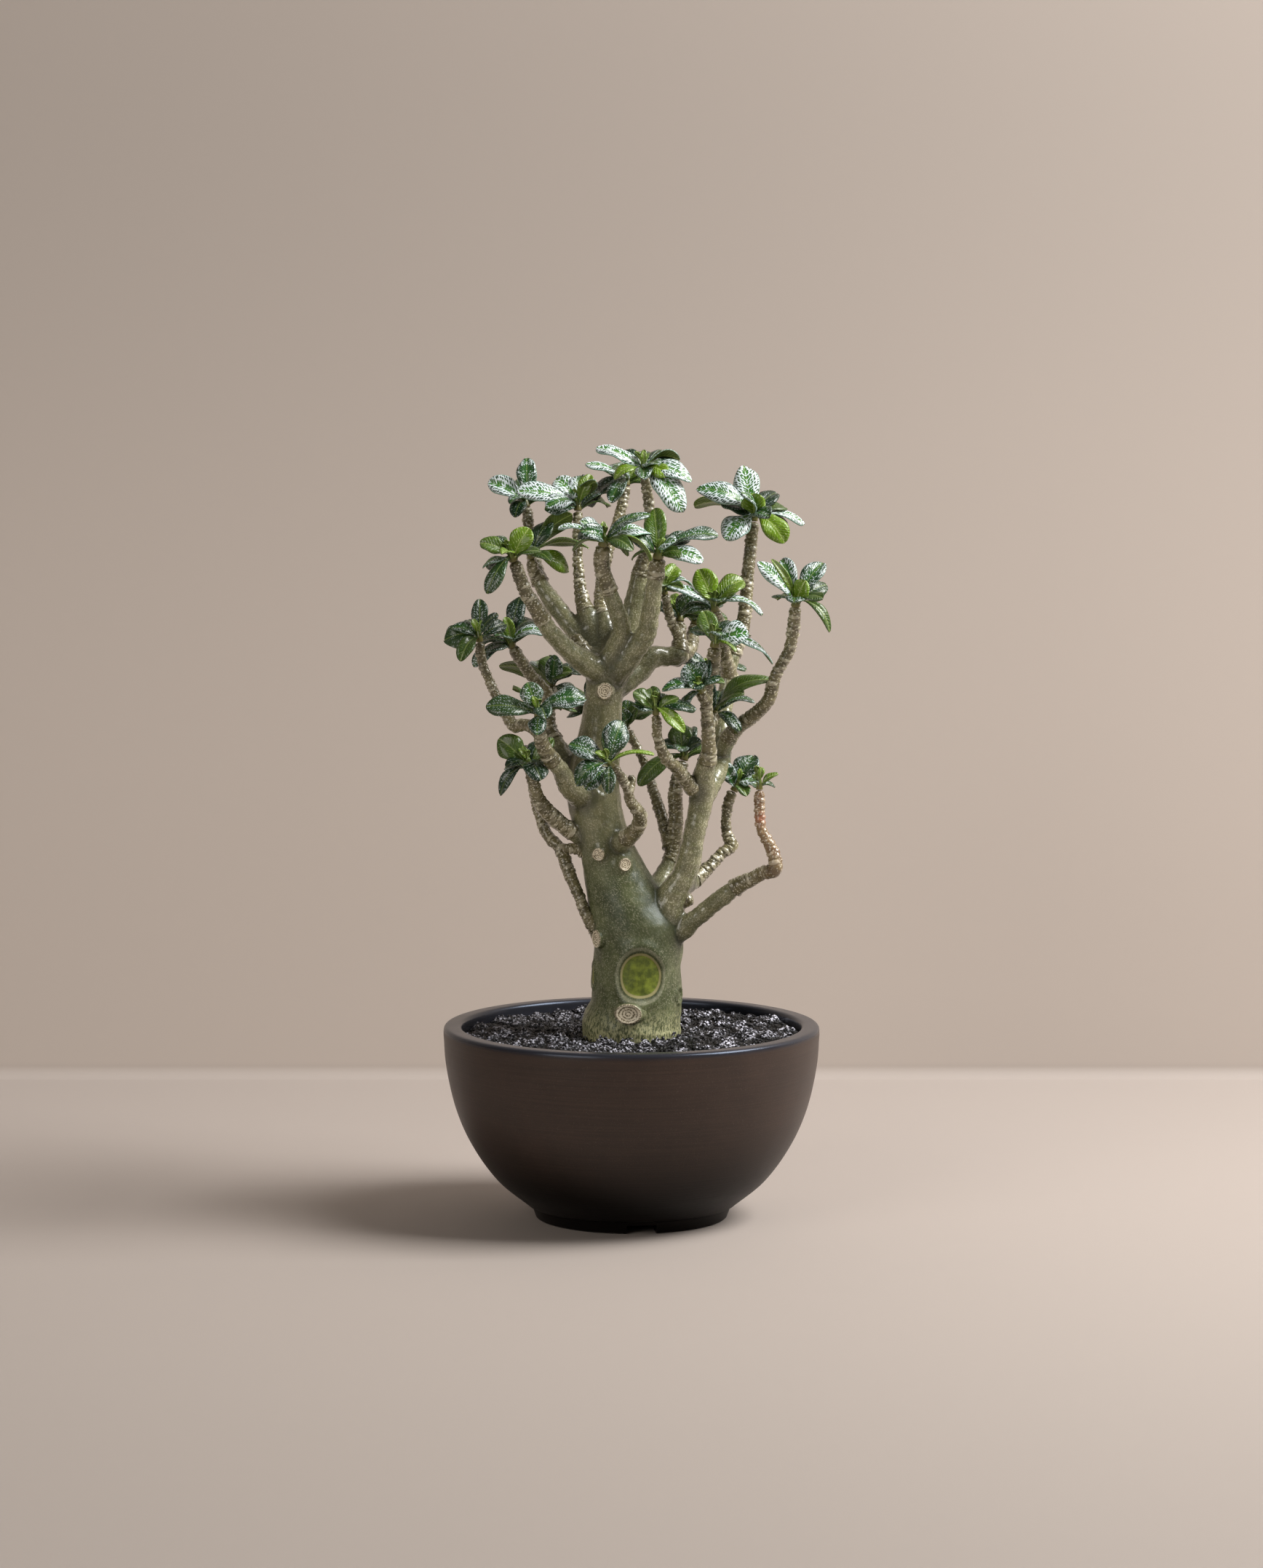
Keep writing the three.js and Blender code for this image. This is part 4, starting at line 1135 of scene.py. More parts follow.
@dataclass(frozen=True)
class LeafFinish:
    """A dark leaf with silvery flecks in rows along its veins, partly painted highlight glints, or
    a bright young one.
    """

    green: Colour = tone(15, 48, 19)
    fresh: Colour = tone(46, 104, 30)
    # Silvery flecks, partly painted highlight glints.
    silver: Colour = tone(208, 221, 224)
    young: Colour = tone(96, 128, 14)
    point: Colour = tone(214, 226, 160)
    back: Colour = tone(86, 104, 40)
    rib: Colour = tone(170, 188, 110)
    edge: Colour = tone(136, 172, 156)
    shoot: Colour = tone(112, 106, 58)
    fleck: float = 1.3
    slope: float = 0.75
    most_silver: float = 0.6

    def flecks(self, s: Shader, share: Socket, spots: Socket, patch: Socket) -> Socket:
        """Where the silvery flecks, partly painted highlight glints, lie on a leaf's upper face.

        Args:
            s: The material being made.
            share: How far out from the rib a place is, 1 at the edge.
            spots: How far the nearest fleck's middle is.
            patch: Noise that gathers the flecks.

        Returns:
            The flecks and painted highlight glints, 0 to 1.
        """
        silver, tint, under = s.mark("silver"), s.mark("tint"), s.mark("under")
        zone = s.line(s.step(share, 0.08, 0.62), 0.5, s.line(tint, 0.1, patch))
        zone = s.maths("ADD", zone, s.line(silver, 1.6, -1.0))
        zone = s.maths("MINIMUM", zone, self.most_silver)
        bare = s.line(zone, 0.62, s.maths("SUBTRACT", spots, 0.72))
        white = s.times(s.step(bare, -0.06, 0.07), s.step(silver, 0.02, 0.2))
        # Rows of small white dots on darker leaves: painted highlight glints.
        rows = s.times(s.step(spots, 0.26, 0.16), s.step(patch, 0.4, 0.54))
        rows = s.times(rows, s.step(silver, 0.02, 0.08), s.step(silver, 0.45, 0.2))
        return s.times(s.maths("MAXIMUM", white, rows), s.maths("SUBTRACT", 1, under))

    def make(self) -> bpy.types.Material:
        """The leaves' material, which reads each leaf's marks and flat place.

        Returns:
            The material.
        """
        s = Shader("leaf")
        across, along, _ = s.node("SeparateXYZ", s.scaled(s.node("UVMap").outputs[0], 10)).outputs
        off = s.maths("ABSOLUTE", across)
        share = s.maths("ABSOLUTE", s.mark("across"))
        under, youth, tint, silver = map(s.mark, ("under", "youth", "tint", "silver"))
        slanted = s.line(off, -self.slope, along)
        place = s.node("CombineXYZ", s.line(tint, 40, s.times(off, 0.7)), slanted, 0.0).outputs[0]
        spots = s.rows(place, self.fleck, 0.6)
        patch = s.noise(s.scaled(place, 0.6, 1, 1), 3, 1)
        fresh = s.times(s.step(share, 0.85, 0.2), s.step(silver, 0.04, 0.25))
        colour = s.mix(youth, s.mix(fresh, self.green, self.fresh), self.young)
        points = s.times(s.step(s.rows(place, 1.9, 0.9), 0.16, 0.1), youth)
        colour = s.mix(s.times(points, 0.5), colour, self.point)
        colour = s.mix(s.times(under, 0.8), colour, self.back)
        vein = s.step(s.maths("PINGPONG", s.maths("DIVIDE", slanted, 1.6), 0.5), 0.16, 0.04)
        plain = s.maths("MAXIMUM", under, youth)
        colour = s.mix(s.times(vein, plain, 0.25), colour, self.rib)
        rib = s.times(s.step(off, 0.5, 0.2), s.line(plain, 0.45, 0.2))
        colour = s.mix(rib, colour, self.rib)
        white = self.flecks(s, share, spots, patch)
        # Silvery flecks: partly the leaf's pattern, partly painted highlight glints on its puckered
        # face.
        colour = s.mix(s.times(white, 0.94), colour, self.silver)
        edge = s.times(s.step(share, 0.9, 0.98), s.step(silver, 0.0, 0.3))
        colour = s.mix(s.times(edge, 0.8), colour, self.edge)
        colour = s.mix(s.mark("woody"), colour, self.shoot)
        shade = s.node("HueSaturation", None, None, s.line(tint, 0.25, 1.0), None, colour)
        s.relief(s.line(vein, -0.4, spots), 0.3)
        return s.made(
            shade.outputs[0], 0.36, Specular_IOR_Level=0.4, Coat_Weight=0.45, Coat_Roughness=0.14
        )


@dataclass(frozen=True)
class BackdropFinish:
    """Matt paint, a little lighter on the wall than on the table, with painted shade darkening the
    wall toward its top.
    """

    near: Colour = tone(157, 148, 141)
    far: Colour = tone(170, 160, 153)
    wall: Colour = tone(188, 177, 168)
    # Painted shade toward the wall's top.
    top: Colour = tone(167, 157, 149)

    def make(self) -> bpy.types.Material:
        """The paint's material.

        Returns:
            The material.
        """
        s = Shader("backdrop")
        _, back, height = s.node("SeparateXYZ", s.place).outputs
        table = s.mix(s.step(back, -700, 300), self.near, self.far)
        # Painted shade: the wall darkens toward its top.
        wall = s.mix(s.step(height, 150, 650), self.wall, self.top)
        paint = s.made(s.mix(s.step(height, 0, 12), table, wall), 0.8)
        # The sheet has a front alone, so the plant can also be looked at from behind the wall.
        behind = s.node("NewGeometry").outputs["Backfacing"]
        clear = s.node("BsdfTransparent").outputs[0]
        sheet = s.node("MixShader", behind, s.surface.outputs[0], clear)
        s.feed(s.nodes["Material Output"].inputs["Surface"], sheet.outputs[0])
        return paint


# ---------- the bowl and its grit ----------


@dataclass
class Bowl:
    """The turned bowl: a smooth open curve from a notched foot ring to a round lip."""

    radius: float = 101.5
    height: float = 105.0
    wall: float = 10.0
    floor: float = 14.0
    lip: float = 3.6
    fullness: float = 0.62
    foot: float = 51.5
    foot_top: float = 54.0
    foot_height: float = 6.5
    ring: float = 11.0
    bevel: float = 0.8
    recess: float = 5.0
    drain: float = 9.0
    notch: tuple[float, float] = (16.0, 5.0)
    notch_turns: tuple[float, ...] = (-84.0, 36.0, 156.0)
    facets: int = 160
    lip_points: int = 11
    wall_points: int = 12
    # The wall's outside: radius, height, and the shares of an inset off the radius and up.
    line: Rows = (
        (56.5, 7.7, 1, 0.8), (73, 21.5, 0.75, 0.6), (86.5, 40.5, 0.88, 0.35),
        (95, 60, 0.96, 0.15), (100.3, 84, 1, 0), (101.5, 100, 1, 0),
    )

    def side(self, inset: float) -> np.ndarray:
        """The wall's radius and height from foot to lip, at an inset."""
        rows = [(r - inset * inward, 0, z + inset * lift) for r, z, inward, lift in self.line]
        return centripetal(np.array(rows), self.wall_points)[:, [0, 2]]

    def round_lip(self, middle: float, start: float, end: float) -> list[tuple[float, float]]:
        """A full arc of the lip about a radius, from one angle in degrees to another.

        Args:
            middle: The radius at the arc's middle.
            start: Where the arc starts, 0 outside and 90 on top.
            end: Where it ends.

        Returns:
            Rows of radius and height.
        """
        rows = []
        for turn in np.radians(np.linspace(start, end, self.lip_points)):
            out = math.copysign(abs(math.cos(turn)) ** self.fullness, math.cos(turn))
            up = abs(math.sin(turn)) ** self.fullness
            rows.append((middle + self.lip * out, self.height - self.lip + self.lip * up))
        return rows

    def profile(self) -> list[tuple[float, float]]:
        """The bowl's closed section as radius and height.

        Returns:
            Rows of radius and height, from the drain hole round the outside and back.
        """
        ring_inner, lip_inner = self.foot - self.ring, self.radius - self.wall
        return [
            (self.drain, self.recess),
            (ring_inner - self.recess / 2, self.recess),
            (ring_inner, 0),
            (self.foot - self.bevel, 0),
            (self.foot + self.bevel / 2, self.bevel),
            (self.foot_top, self.foot_height),
            *map(tuple, self.side(0)),
            *self.round_lip(self.radius - self.lip, 0, 90),
            *self.round_lip(lip_inner + self.lip, 90, 180),
            *map(tuple, self.side(self.wall)[::-1]),
            (self.foot - self.wall, self.floor),
            (self.drain, self.floor),
        ]

    def cutters(self) -> bpy.types.Mesh:
        """The blocks that the foot ring's notches are cut with.

        Returns:
            The blocks' mesh.
        """
        width, height = self.notch
        shape = bmesh.new()
        for turn in self.notch_turns:
            turned_to = Matrix.Rotation(math.radians(turn), 4, "Z")
            spot = turned_to @ Matrix.Translation((self.foot * MM, 0, 0))
            size = Matrix.Diagonal((3 * self.ring * MM, width * MM, 2 * height * MM, 1))
            bmesh.ops.create_cube(shape, size=1, matrix=spot @ size)
        return finished(shape, "cutters")

    def build(self) -> None:
        """The bowl in its satin black clay."""
        blocks = bpy.data.objects.new("blocks", self.cutters())
        cut = {"object": blocks, "operation": "DIFFERENCE", "solver": "EXACT"}
        whole = turned("whole_bowl", self.profile(), self.facets)
        mesh = applied(whole, "bowl", ("BOOLEAN", cut))
        bpy.data.objects.remove(blocks)
        mesh.shade_smooth()
        mesh.set_sharp_from_angle(angle=SHARP)
        show(mesh, "clay", ClayFinish().make(), "pot")


@dataclass
class GritBed:
    """The grit that fills the bowl: a clumpy bed under loose crumbs."""

    bowl: Bowl
    height: float = 97.6
    mound: float = 5.6
    tilt: float = 1.6
    hole: float = 27.1
    depth: float = 36.95
    gap: float = 0.35
    ring_step: float = 0.75
    facets: int = 600
    clod_sizes: tuple[float, float] = (11.0, 4.6)
    crumbs: int = 3000
    crumb_sizes: tuple[float, float] = (0.45, 1.1)
    crumb_margin: float = 2.2

    def clumps(self, places: np.ndarray) -> np.ndarray:
        """How high the clumps stand at places, 0 in their sharp clefts and about 1 on top.

        Args:
            places: Rows of x, y, z.

        Returns:
            One height for each row.
        """
        flat = places * (1, 1, 0)
        level = places[:, :2] + 1.6 * np.stack([swell(flat, 4, seed) for seed in (4, 9)], axis=1)
        broad, middle = (clods(level, size, 1 + k) for k, size in enumerate(self.clod_sizes))
        return broad * (0.62 + 0.34 * middle) + 0.08 * swell(flat, 1.2, 5)

    def lean(self, places: np.ndarray) -> np.ndarray:
        """How much higher the grit lies toward the right."""
        return self.tilt * smooth_step(places[:, 0], -60, 80)

    def bed(self) -> bpy.types.Mesh:
        """The bed: its sides follow the bowl, its top is clumped.

        Returns:
            The bed's mesh, marked with how high its clods stand.
        """
        inset = self.bowl.wall + self.gap
        sides = [tuple(row) for row in self.bowl.side(inset) if row[1] < self.height - 6]
        reach = self.bowl.radius - inset - 0.4
        tops = [(r, self.height) for r in np.arange(reach, self.hole, -self.ring_step)]
        floor = self.bowl.floor + self.gap
        profile = [
            (0, floor), (self.bowl.foot - inset, floor), *sides, (reach, self.height - 4), *tops,
            (self.hole, self.height - 0.4), (self.hole, self.height - self.depth),
            (0, self.height - self.depth),
        ]
        mesh = turned("grit_bed", profile, self.facets)
        places = places_of(mesh) / MM
        top = places[:, 2] > self.height - 0.1
        radius = np.hypot(places[:, 0], places[:, 1])
        calm = smooth_step(radius, self.hole, self.hole + 6) * smooth_step(radius, reach, reach - 3)
        crest = self.clumps(places)
        rise = (0.35 + 0.65 * calm) * self.mound * crest + self.lean(places)
        places[:, 2] += np.where(top, rise, 0)
        set_places(mesh, places * MM)
        mark(mesh, "crest", crest)
        return mesh

    def scatter(self) -> bpy.types.Mesh:
        """The crumbs that lie on the bed, each an uneven little stone.

        Returns:
            The crumbs' mesh, marked as the bed is.
        """
        shape = bmesh.new()
        bmesh.ops.create_icosphere(shape, subdivisions=1, radius=1)
        stone = finished(shape, "stone")
        form = places_of(stone)
        draw = Draws(77)
        low, high = self.crumb_sizes
        reach = self.bowl.radius - self.bowl.wall - self.crumb_margin
        pile = Pile()
        for _ in range(self.crumbs):
            radius = math.sqrt(self.hole**2 + (reach**2 - self.hole**2) * (draw() + 1) / 2)
            turn = math.pi * draw()
            spot = np.array([[radius * math.cos(turn), radius * math.sin(turn), 0]])
            lift = float(self.clumps(spot)[0])
            size = low + (high - low) * ((draw() + 1) / 2) ** 2
            stretch = np.array([1 + 0.35 * draw(), 1 + 0.35 * draw(), 0.8 + 0.2 * draw()])
            rough = np.array([[draw(), draw(), draw()] for _ in form]) * 0.3
            body = (form + rough) * stretch * size
            body[:, 2] += self.height + self.mound * lift + float(self.lean(spot)[0]) + 0.2 * size
            pile.add(stone, body + spot, crest=np.full(len(form), lift))
        mesh = pile.mesh("grit_crumbs")
        mesh.shade_smooth()
        return mesh

    def build(self) -> None:
        """The bed and its crumbs in black lava grit."""
        finish = GritFinish().make()
        show(self.bed(), "lava_grit", finish, "soil")
        show(self.scatter(), "lava_grit", finish, "soil")


# ---------- the wood ----------


@dataclass
class Wood:
    """The grown plant: a remeshed caudex with its thick limbs, and the ringed twigs."""

    thick: float = 4.3
    overlap: float = 3.0
    voxel: float = 0.95
    stub_stand: float = 2.8
    scar_root: float = 4.0
    # How far the painted shade in the creases reaches.
    crease_shade: float = 2.4
    trunk_sides: int = 40
    limb_sides: int = 20
    stub_sides: int = 44
    twig_sides: int = 22
    twig_step: float = 0.66
    spiral: float = 137.508
    rise: float = 0.95
    plate: tuple[float, float] = (4.8, 1.5)
    rosy_twig: str = "low_right"
    # A stub's round edge and corky face: shares of its radius and of how far it stands out.
    cut_end: Rows = (
        (1.05, 0.3), (1.0, 0.7), (0.97, 0.92), (0.88, 1), (0.74, 0.98), (0.66, 0.86), (0.5, 0.88),
        (0.3, 0.84), (0, 0.88),
    )

    def axes(self) -> list[tuple[Axis, int]]:
        """Each route's axis after the trunk's, with the sample where it turns thin.

        Returns:
            An axis and a sample's number for each shoot.
        """
        rows = []
        for shoot in SHOOTS:
            axis = Axis.through(shoot.route, self.twig_step)
            thin = np.flatnonzero(axis.radii < self.thick)
            rows.append((axis, int(thin[0]) if len(thin) else len(axis.radii)))
        return rows

    @staticmethod
    def seat(scar: Scar, trunk: Axis) -> tuple[np.ndarray, np.ndarray, np.ndarray]:
        """A scar's middle on the trunk's side, and its directions across and out.

        Args:
            scar: The scar.
            trunk: The trunk's axis.

        Returns:
            The middle, the way across and the way out.
        """
        heights = trunk.places[:, 2]
        level = [np.interp(scar.height, heights, column) for column in trunk.places[:, :2].T]
        radius = np.interp(scar.height, heights, trunk.radii)
        turn = math.radians(scar.angle)
        out = np.array([math.cos(turn), math.sin(turn), 0])
        middle = np.array([*level, scar.height]) + out * radius
        return middle, np.array([out[1], -out[0], 0]), out

    def core(self, trunk: Axis, limbs: list[Axis]) -> bpy.types.Mesh:
        """The trunk and thick limbs as one smoothly joined skin.

        Args:
            trunk: The trunk's axis.
            limbs: The axes of the limbs' thick stretches.

        Returns:
            The skin's mesh, named for the caudex.
        """
        pile = Pile()
        pile.add(*tube(trunk, self.trunk_sides, trunk.radii))
        for limb in limbs:
            pile.add(*tube(limb, self.limb_sides, limb.radii))
        return applied(
            pile.mesh("core", weld=0.001 * MM), "caudex",
            ("REMESH", {"mode": "VOXEL", "voxel_size": self.voxel * MM}),
            ("SMOOTH", {"iterations": 10, "factor": 0.5}),
        )

    @staticmethod
    def beside(
        places: np.ndarray, stems: Axis, starts: np.ndarray
    ) -> tuple[np.ndarray, np.ndarray]:
        """The nearest samples of the stems, and how far the second-nearest stem is.

        Args:
            places: Rows of x, y, z on the skin.
            stems: All stems' samples.
            starts: Where each stem's samples start.

        Returns:
            One sample's number and one distance for each row.
        """
        nearest, second = [], []
        for rows in np.array_split(places, 200):
            gaps = np.linalg.norm(rows[:, None] - stems.places, axis=2) - stems.radii
            nearest.append(np.argmin(gaps, axis=1))
            each = np.minimum.reduceat(gaps, starts, axis=1)
            second.append(np.partition(each, 1, axis=1)[:, 1])
        return np.concatenate(nearest), np.concatenate(second)

    def scarred(self, mesh: bpy.types.Mesh, places: np.ndarray, trunk: Axis) -> None:
        """Shapes the caudex's places at its scars and marks the mesh there.

        Args:
            mesh: The caudex's mesh.
            places: Its corners' places, which are moved.
            trunk: The trunk's axis.
        """
        rho = np.full(len(places), 3.0)
        moss = np.zeros(len(places))
        for scar in SCARS:
            middle, across, outward = self.seat(scar, trunk)
            local = places - middle
            u, v = local @ across / (scar.width / 2), local[:, 2] / (scar.length / 2)
            wobble = 1 + 0.07 * swell(np.column_stack([u, v, 0 * u]) * 2, 1.3, scar.height)
            ring = np.where(np.abs(local @ outward) < 9, np.hypot(u, v) * wobble, 3)
            if scar.stand >= self.stub_stand:
                places += outward * (1.1 * smooth_step(ring, 1.7, 0.9))[:, None]
                continue
            callus = np.exp(-(((ring - 1.0) / 0.17) ** 2))
            dish = -smooth_step(ring, 0.82, 0.66) * 0.3
            places += outward * (scar.stand * (0.75 * callus + dish))[:, None]
            if scar.heal is not Heal.CLOSED:
                moss = np.where(ring < rho, float(scar.heal is Heal.MOSSY), moss)
                rho = np.minimum(rho, ring)
        mark(mesh, "scar", rho)
        mark(mesh, "moss", moss)

    def caudex(self, trunk: Axis, limbs: list[Axis]) -> bpy.types.Mesh:
        """The caudex, marked with its grain, its thickness and where painted shade falls in its
        creases, and shaped at its scars.

        Args:
            trunk: The trunk's axis.
            limbs: The axes of the limbs' thick stretches.

        Returns:
            The caudex's mesh.
        """
        mesh = self.core(trunk, limbs)
        places = places_of(mesh) / MM
        every = [trunk, *limbs]
        stems = Axis.joined(every)
        starts = np.cumsum([0] + [len(axis.radii) for axis in every[:-1]])
        nearest, second = self.beside(places, stems, starts)
        # Marks how near a second stem lies, for the painted shade in the creases.
        mark(mesh, "crease_shade", np.exp(-((np.maximum(second - 0.4, 0) / self.crease_shade) ** 2)))
        offset = places - stems.places[nearest]
        radius, along = stems.radii[nearest], stems.along[nearest]
        side = unit(np.stack([
            np.sum(offset * stems.normals[nearest], axis=1),
            np.sum(offset * stems.binormals[nearest], axis=1),
        ], axis=1))
        rise = np.where(nearest < len(trunk.radii), places[:, 2], along)
        mark(mesh, "stem", np.column_stack([side * radius[:, None], rise]))
        mark(mesh, "thick", radius)
        lump = 0.35 * swell(places, 9, 3) + 0.14 * swell(places, 2.6, 8)
        ridge = swell(np.column_stack([side * 1.2, along]), 1.5, 6)
        places += unit(offset) * (lump + 0.3 * smooth_step(radius, 13, 6) * ridge)[:, None]
        self.scarred(mesh, places, trunk)
        set_places(mesh, places * MM)
        mesh.shade_smooth()
        return mesh

    def stubs(self, trunk: Axis) -> bpy.types.Mesh:
        """The cut stubs: short pegs with a round edge and a corky face.

        Args:
            trunk: The trunk's axis.

        Returns:
            The stubs' mesh, marked as the caudex is.
        """
        pile = Pile()
        for number, scar in enumerate(SCARS):
            if scar.stand < self.stub_stand:
                continue
            root = [(0, -self.scar_root), (1.3, -self.scar_root), (1.22, -0.5)]
            end = [(radius, stand * scar.stand) for radius, stand in self.cut_end]
            peg = turned("peg", root + end, self.stub_sides)
            form = places_of(peg) / MM
            middle, across, out = self.seat(scar, trunk)
            rho = np.hypot(form[:, 0], form[:, 1])
            flat = form[:, :2] * (scar.width / 2, scar.length / 2)
            places = middle + flat[:, :1] * across + flat[:, 1:] * (0, 0, 1) + form[:, 2:] * out
            swollen = 0.22 * swell(places, 1.7, number)
            places += unit(places - middle + out * 0.01) * swollen[:, None]
            even = np.ones(len(form))
            pile.add(peg, places, scar=rho, moss=0 * even, thick=20 * even, stem=places)
        mesh = pile.mesh("stubs")
        mesh.shade_smooth()
        return mesh

    def plates(self, axis: Axis, turn: float) -> tuple[np.ndarray, np.ndarray, np.ndarray]:
        """The old leaf scars round a twig.

        Args:
            axis: The twig's axis.
            turn: Where the spiral of scars starts, in degrees.

        Returns:
            How far each ring and side stands out, how near the middle of its scar it lies, and
            that scar's tint.
        """
        theta = 2 * math.pi * np.arange(self.twig_sides) / self.twig_sides
        s, theta = np.meshgrid(axis.along, theta, indexing="ij")
        radius = axis.radii[:, None]
        broad, tall = self.plate
        nearest, second, tint = np.full(s.shape, 9.0), np.full(s.shape, 9.0), np.zeros(s.shape)
        first = np.rint(s / self.rise)
        for k in range(-9, 10):
            scar = first + k
            jitter = np.sin(scar * 78.233) * 0.6
            gap = theta - np.radians(turn + scar * self.spiral) + 0.5 * np.sin(scar * 37.719)
            gap = (gap + math.pi) % (2 * math.pi) - math.pi
            wide = broad * (1 + 0.35 * np.sin(scar * 51.31))
            far = np.hypot(gap * radius / wide, (s - scar * self.rise - jitter) / tall)
            second = np.minimum(second, np.maximum(nearest, far))
            tint = np.where(far < nearest, scrambled(scar * 12.9898 + turn), tint)
            nearest = np.minimum(nearest, far)
        heart = smooth_step(second - nearest, 0.02, 0.6)
        depth = 0.5 * smooth_step(radius, 6.5, 3.2) + 0.1
        return depth * (heart * (0.35 + 1.1 * tint) - 0.4), heart, tint

    def twigs(self, limbs: list[tuple[Axis, int]]) -> bpy.types.Mesh:
        """Every thin stretch as a tube ringed with old leaf scars.

        Args:
            limbs: Each shoot's axis, with the sample where it turns thin.

        Returns:
            The twigs' mesh, with its marks.
        """
        pile = Pile()
        back = round(self.overlap / self.twig_step)
        for number, (whole, thin) in enumerate(limbs):
            length = whole.along[-1]
            axis = whole.part(max(0, thin - back), None)
            if len(axis.radii) < 4:
                continue
            stand, heart, tint = self.plates(axis, 40.0 * number)
            from_end = np.clip(1 - (length - axis.along) / 1.6, 0, 1)
            ends = np.sqrt(np.clip(1 - from_end**2, 0.15, 1))
            swollen = axis.radii + 0.5 * np.exp(-(axis.along - axis.along[0]) / 4)
            mesh, places = tube(axis, self.twig_sides, (swollen * ends)[:, None] + stand)
            flat = places_of(mesh)
            ring = np.rint(flat[:, 1] * (len(axis.radii) - 1)).astype(int)
            side = np.rint(flat[:, 0] * self.twig_sides).astype(int) % self.twig_sides
            angle = 2 * math.pi * side / self.twig_sides
            radius = axis.radii[ring]
            rosy = 0.0 * radius
            if SHOOTS[number].name == self.rosy_twig:
                rosy = 0.2 * smooth_step(axis.along[ring] / length, 0.5, 0.8)
                rosy += 0.35 * np.exp(-(((length - axis.along[ring] - 15) / 3) ** 2))
            stem = np.column_stack([
                radius * np.cos(angle), radius * np.sin(angle), axis.along[ring]
            ])
            pile.add(
                mesh, places, plate=heart[ring, side], tint=tint[ring, side], thick=radius,
                rosy=rosy, stem=stem,
            )
        mesh = pile.mesh("twigs", weld=0.001 * MM)
        mesh.shade_smooth()
        return mesh

    def build(self) -> None:
        """The caudex and the twigs in their bark."""
        trunk = Axis.through(TRUNK.route, 1.0)
        limbs = self.axes()
        thick = [axis.part(0, thin) for axis, thin in limbs if thin > 3]
        bark = TrunkFinish().make()
        show(self.caudex(trunk, thick), "bark", bark, "wood")
        show(self.stubs(trunk), "bark", bark, "wood")
        show(self.twigs(limbs), "bark", TwigFinish().make(), "wood")


# ---------- the leaves ----------


def slab(across: int = 8, along: int = 24) -> bpy.types.Mesh:
    """A thin closed block of faces that every leaf is shaped from, 0 to 1 each way.

    Args:
        across: How many faces it has across a leaf.
        along: How many it has along one.

    Returns:
        The slab's mesh.
    """
    shape = grid(across, along)
    risen = bmesh.ops.extrude_face_region(shape, geom=shape.faces[:], use_keep_orig=True)
    tops = [part for part in risen["geom"] if isinstance(part, bmesh.types.BMVert)]
    bmesh.ops.translate(shape, verts=tops, vec=(0, 0, 1))
    bmesh.ops.recalc_face_normals(shape, faces=shape.faces)
    return finished(shape, "slab")


@dataclass(frozen=True)
class Leaf:
    """One leaf: an arched blade with rolled edges, from its root on the shoot to its tip."""

    root: np.ndarray
    tip: np.ndarray
    width: float
    turn: float
    look: LeafLook
    steep_turn: float = 65.0
    widest: float = 0.62
    roll: float = 0.25

    def shaped(self, form: np.ndarray, draw: Draws) -> tuple[np.ndarray, np.ndarray]:
        """The leaf's corners.

        Args:
            form: The slab's corners.
            draw: Where its waves, twist and arch are drawn from.

        Returns:
            The corners' places in millimetres, and their place on the flat leaf.
        """
        u, top = 2 * form[:, 0] - 1, form[:, 2]
        v = 1 - (1 - form[:, 1]) ** 1.25
        span = self.tip - self.root
        length = float(np.linalg.norm(span))
        steep = self.steep_turn * max(span[2], 0) / length
        turn = math.radians(self.turn if self.turn < 0 else max(self.turn, steep))
        side = unit(np.cross(span, (0, -math.sin(turn), math.cos(turn))))
        arch = unit(np.cross(side, span))
        middle = self.root + span / 2 + arch * length * (0.4 + 0.1 * draw())
        share = v[:, None]
        rib = self.root * (1 - share) ** 2 + 2 * middle * share * (1 - share) + self.tip * share**2
        tangent = unit(2 * (middle - self.root) * (1 - share) + 2 * (self.tip - middle) * share)
        twist = (0.3 * draw() * v)[:, None]
        level = unit(side * np.cos(twist) + np.cross(tangent, side) * np.sin(twist))
        normal = unit(np.cross(level, tangent))
        rising = np.maximum(0.14, np.sin(math.pi / 2 * np.minimum(v / self.widest, 1)) ** 1.25)
        past = np.maximum(v - self.widest, 0) / (1 - self.widest)
        falling = np.clip(1 - past**2, 0.004, 1) ** 0.58
        half = self.width / 2 * 1.12 * np.where(v < self.widest, rising, falling)
        half = half * (1 + 0.05 * np.sin(9 * v + 3 * draw()) * np.sign(u))
        phase = (8 + 3 * draw()) * v + 3 * draw() + 1.6 * np.sign(u)
        waves = 0.075 * self.width * u**2 * np.sin(phase)
        fold = 0.24 + 0.2 * draw()
        lift = waves + fold * half * np.abs(u) ** 1.3 - self.roll * half * u**4
        groove = np.exp(-((u * half / 0.7) ** 2))
        skin = np.where(top > 0.5, 0.3 - 0.35 * groove, -0.3 - 0.45 * groove * (1 - 0.7 * v))
        places = rib + level * (u * half)[:, None] + normal * (lift + skin)[:, None]
        return places, np.column_stack([u * half, v * length]) / 10


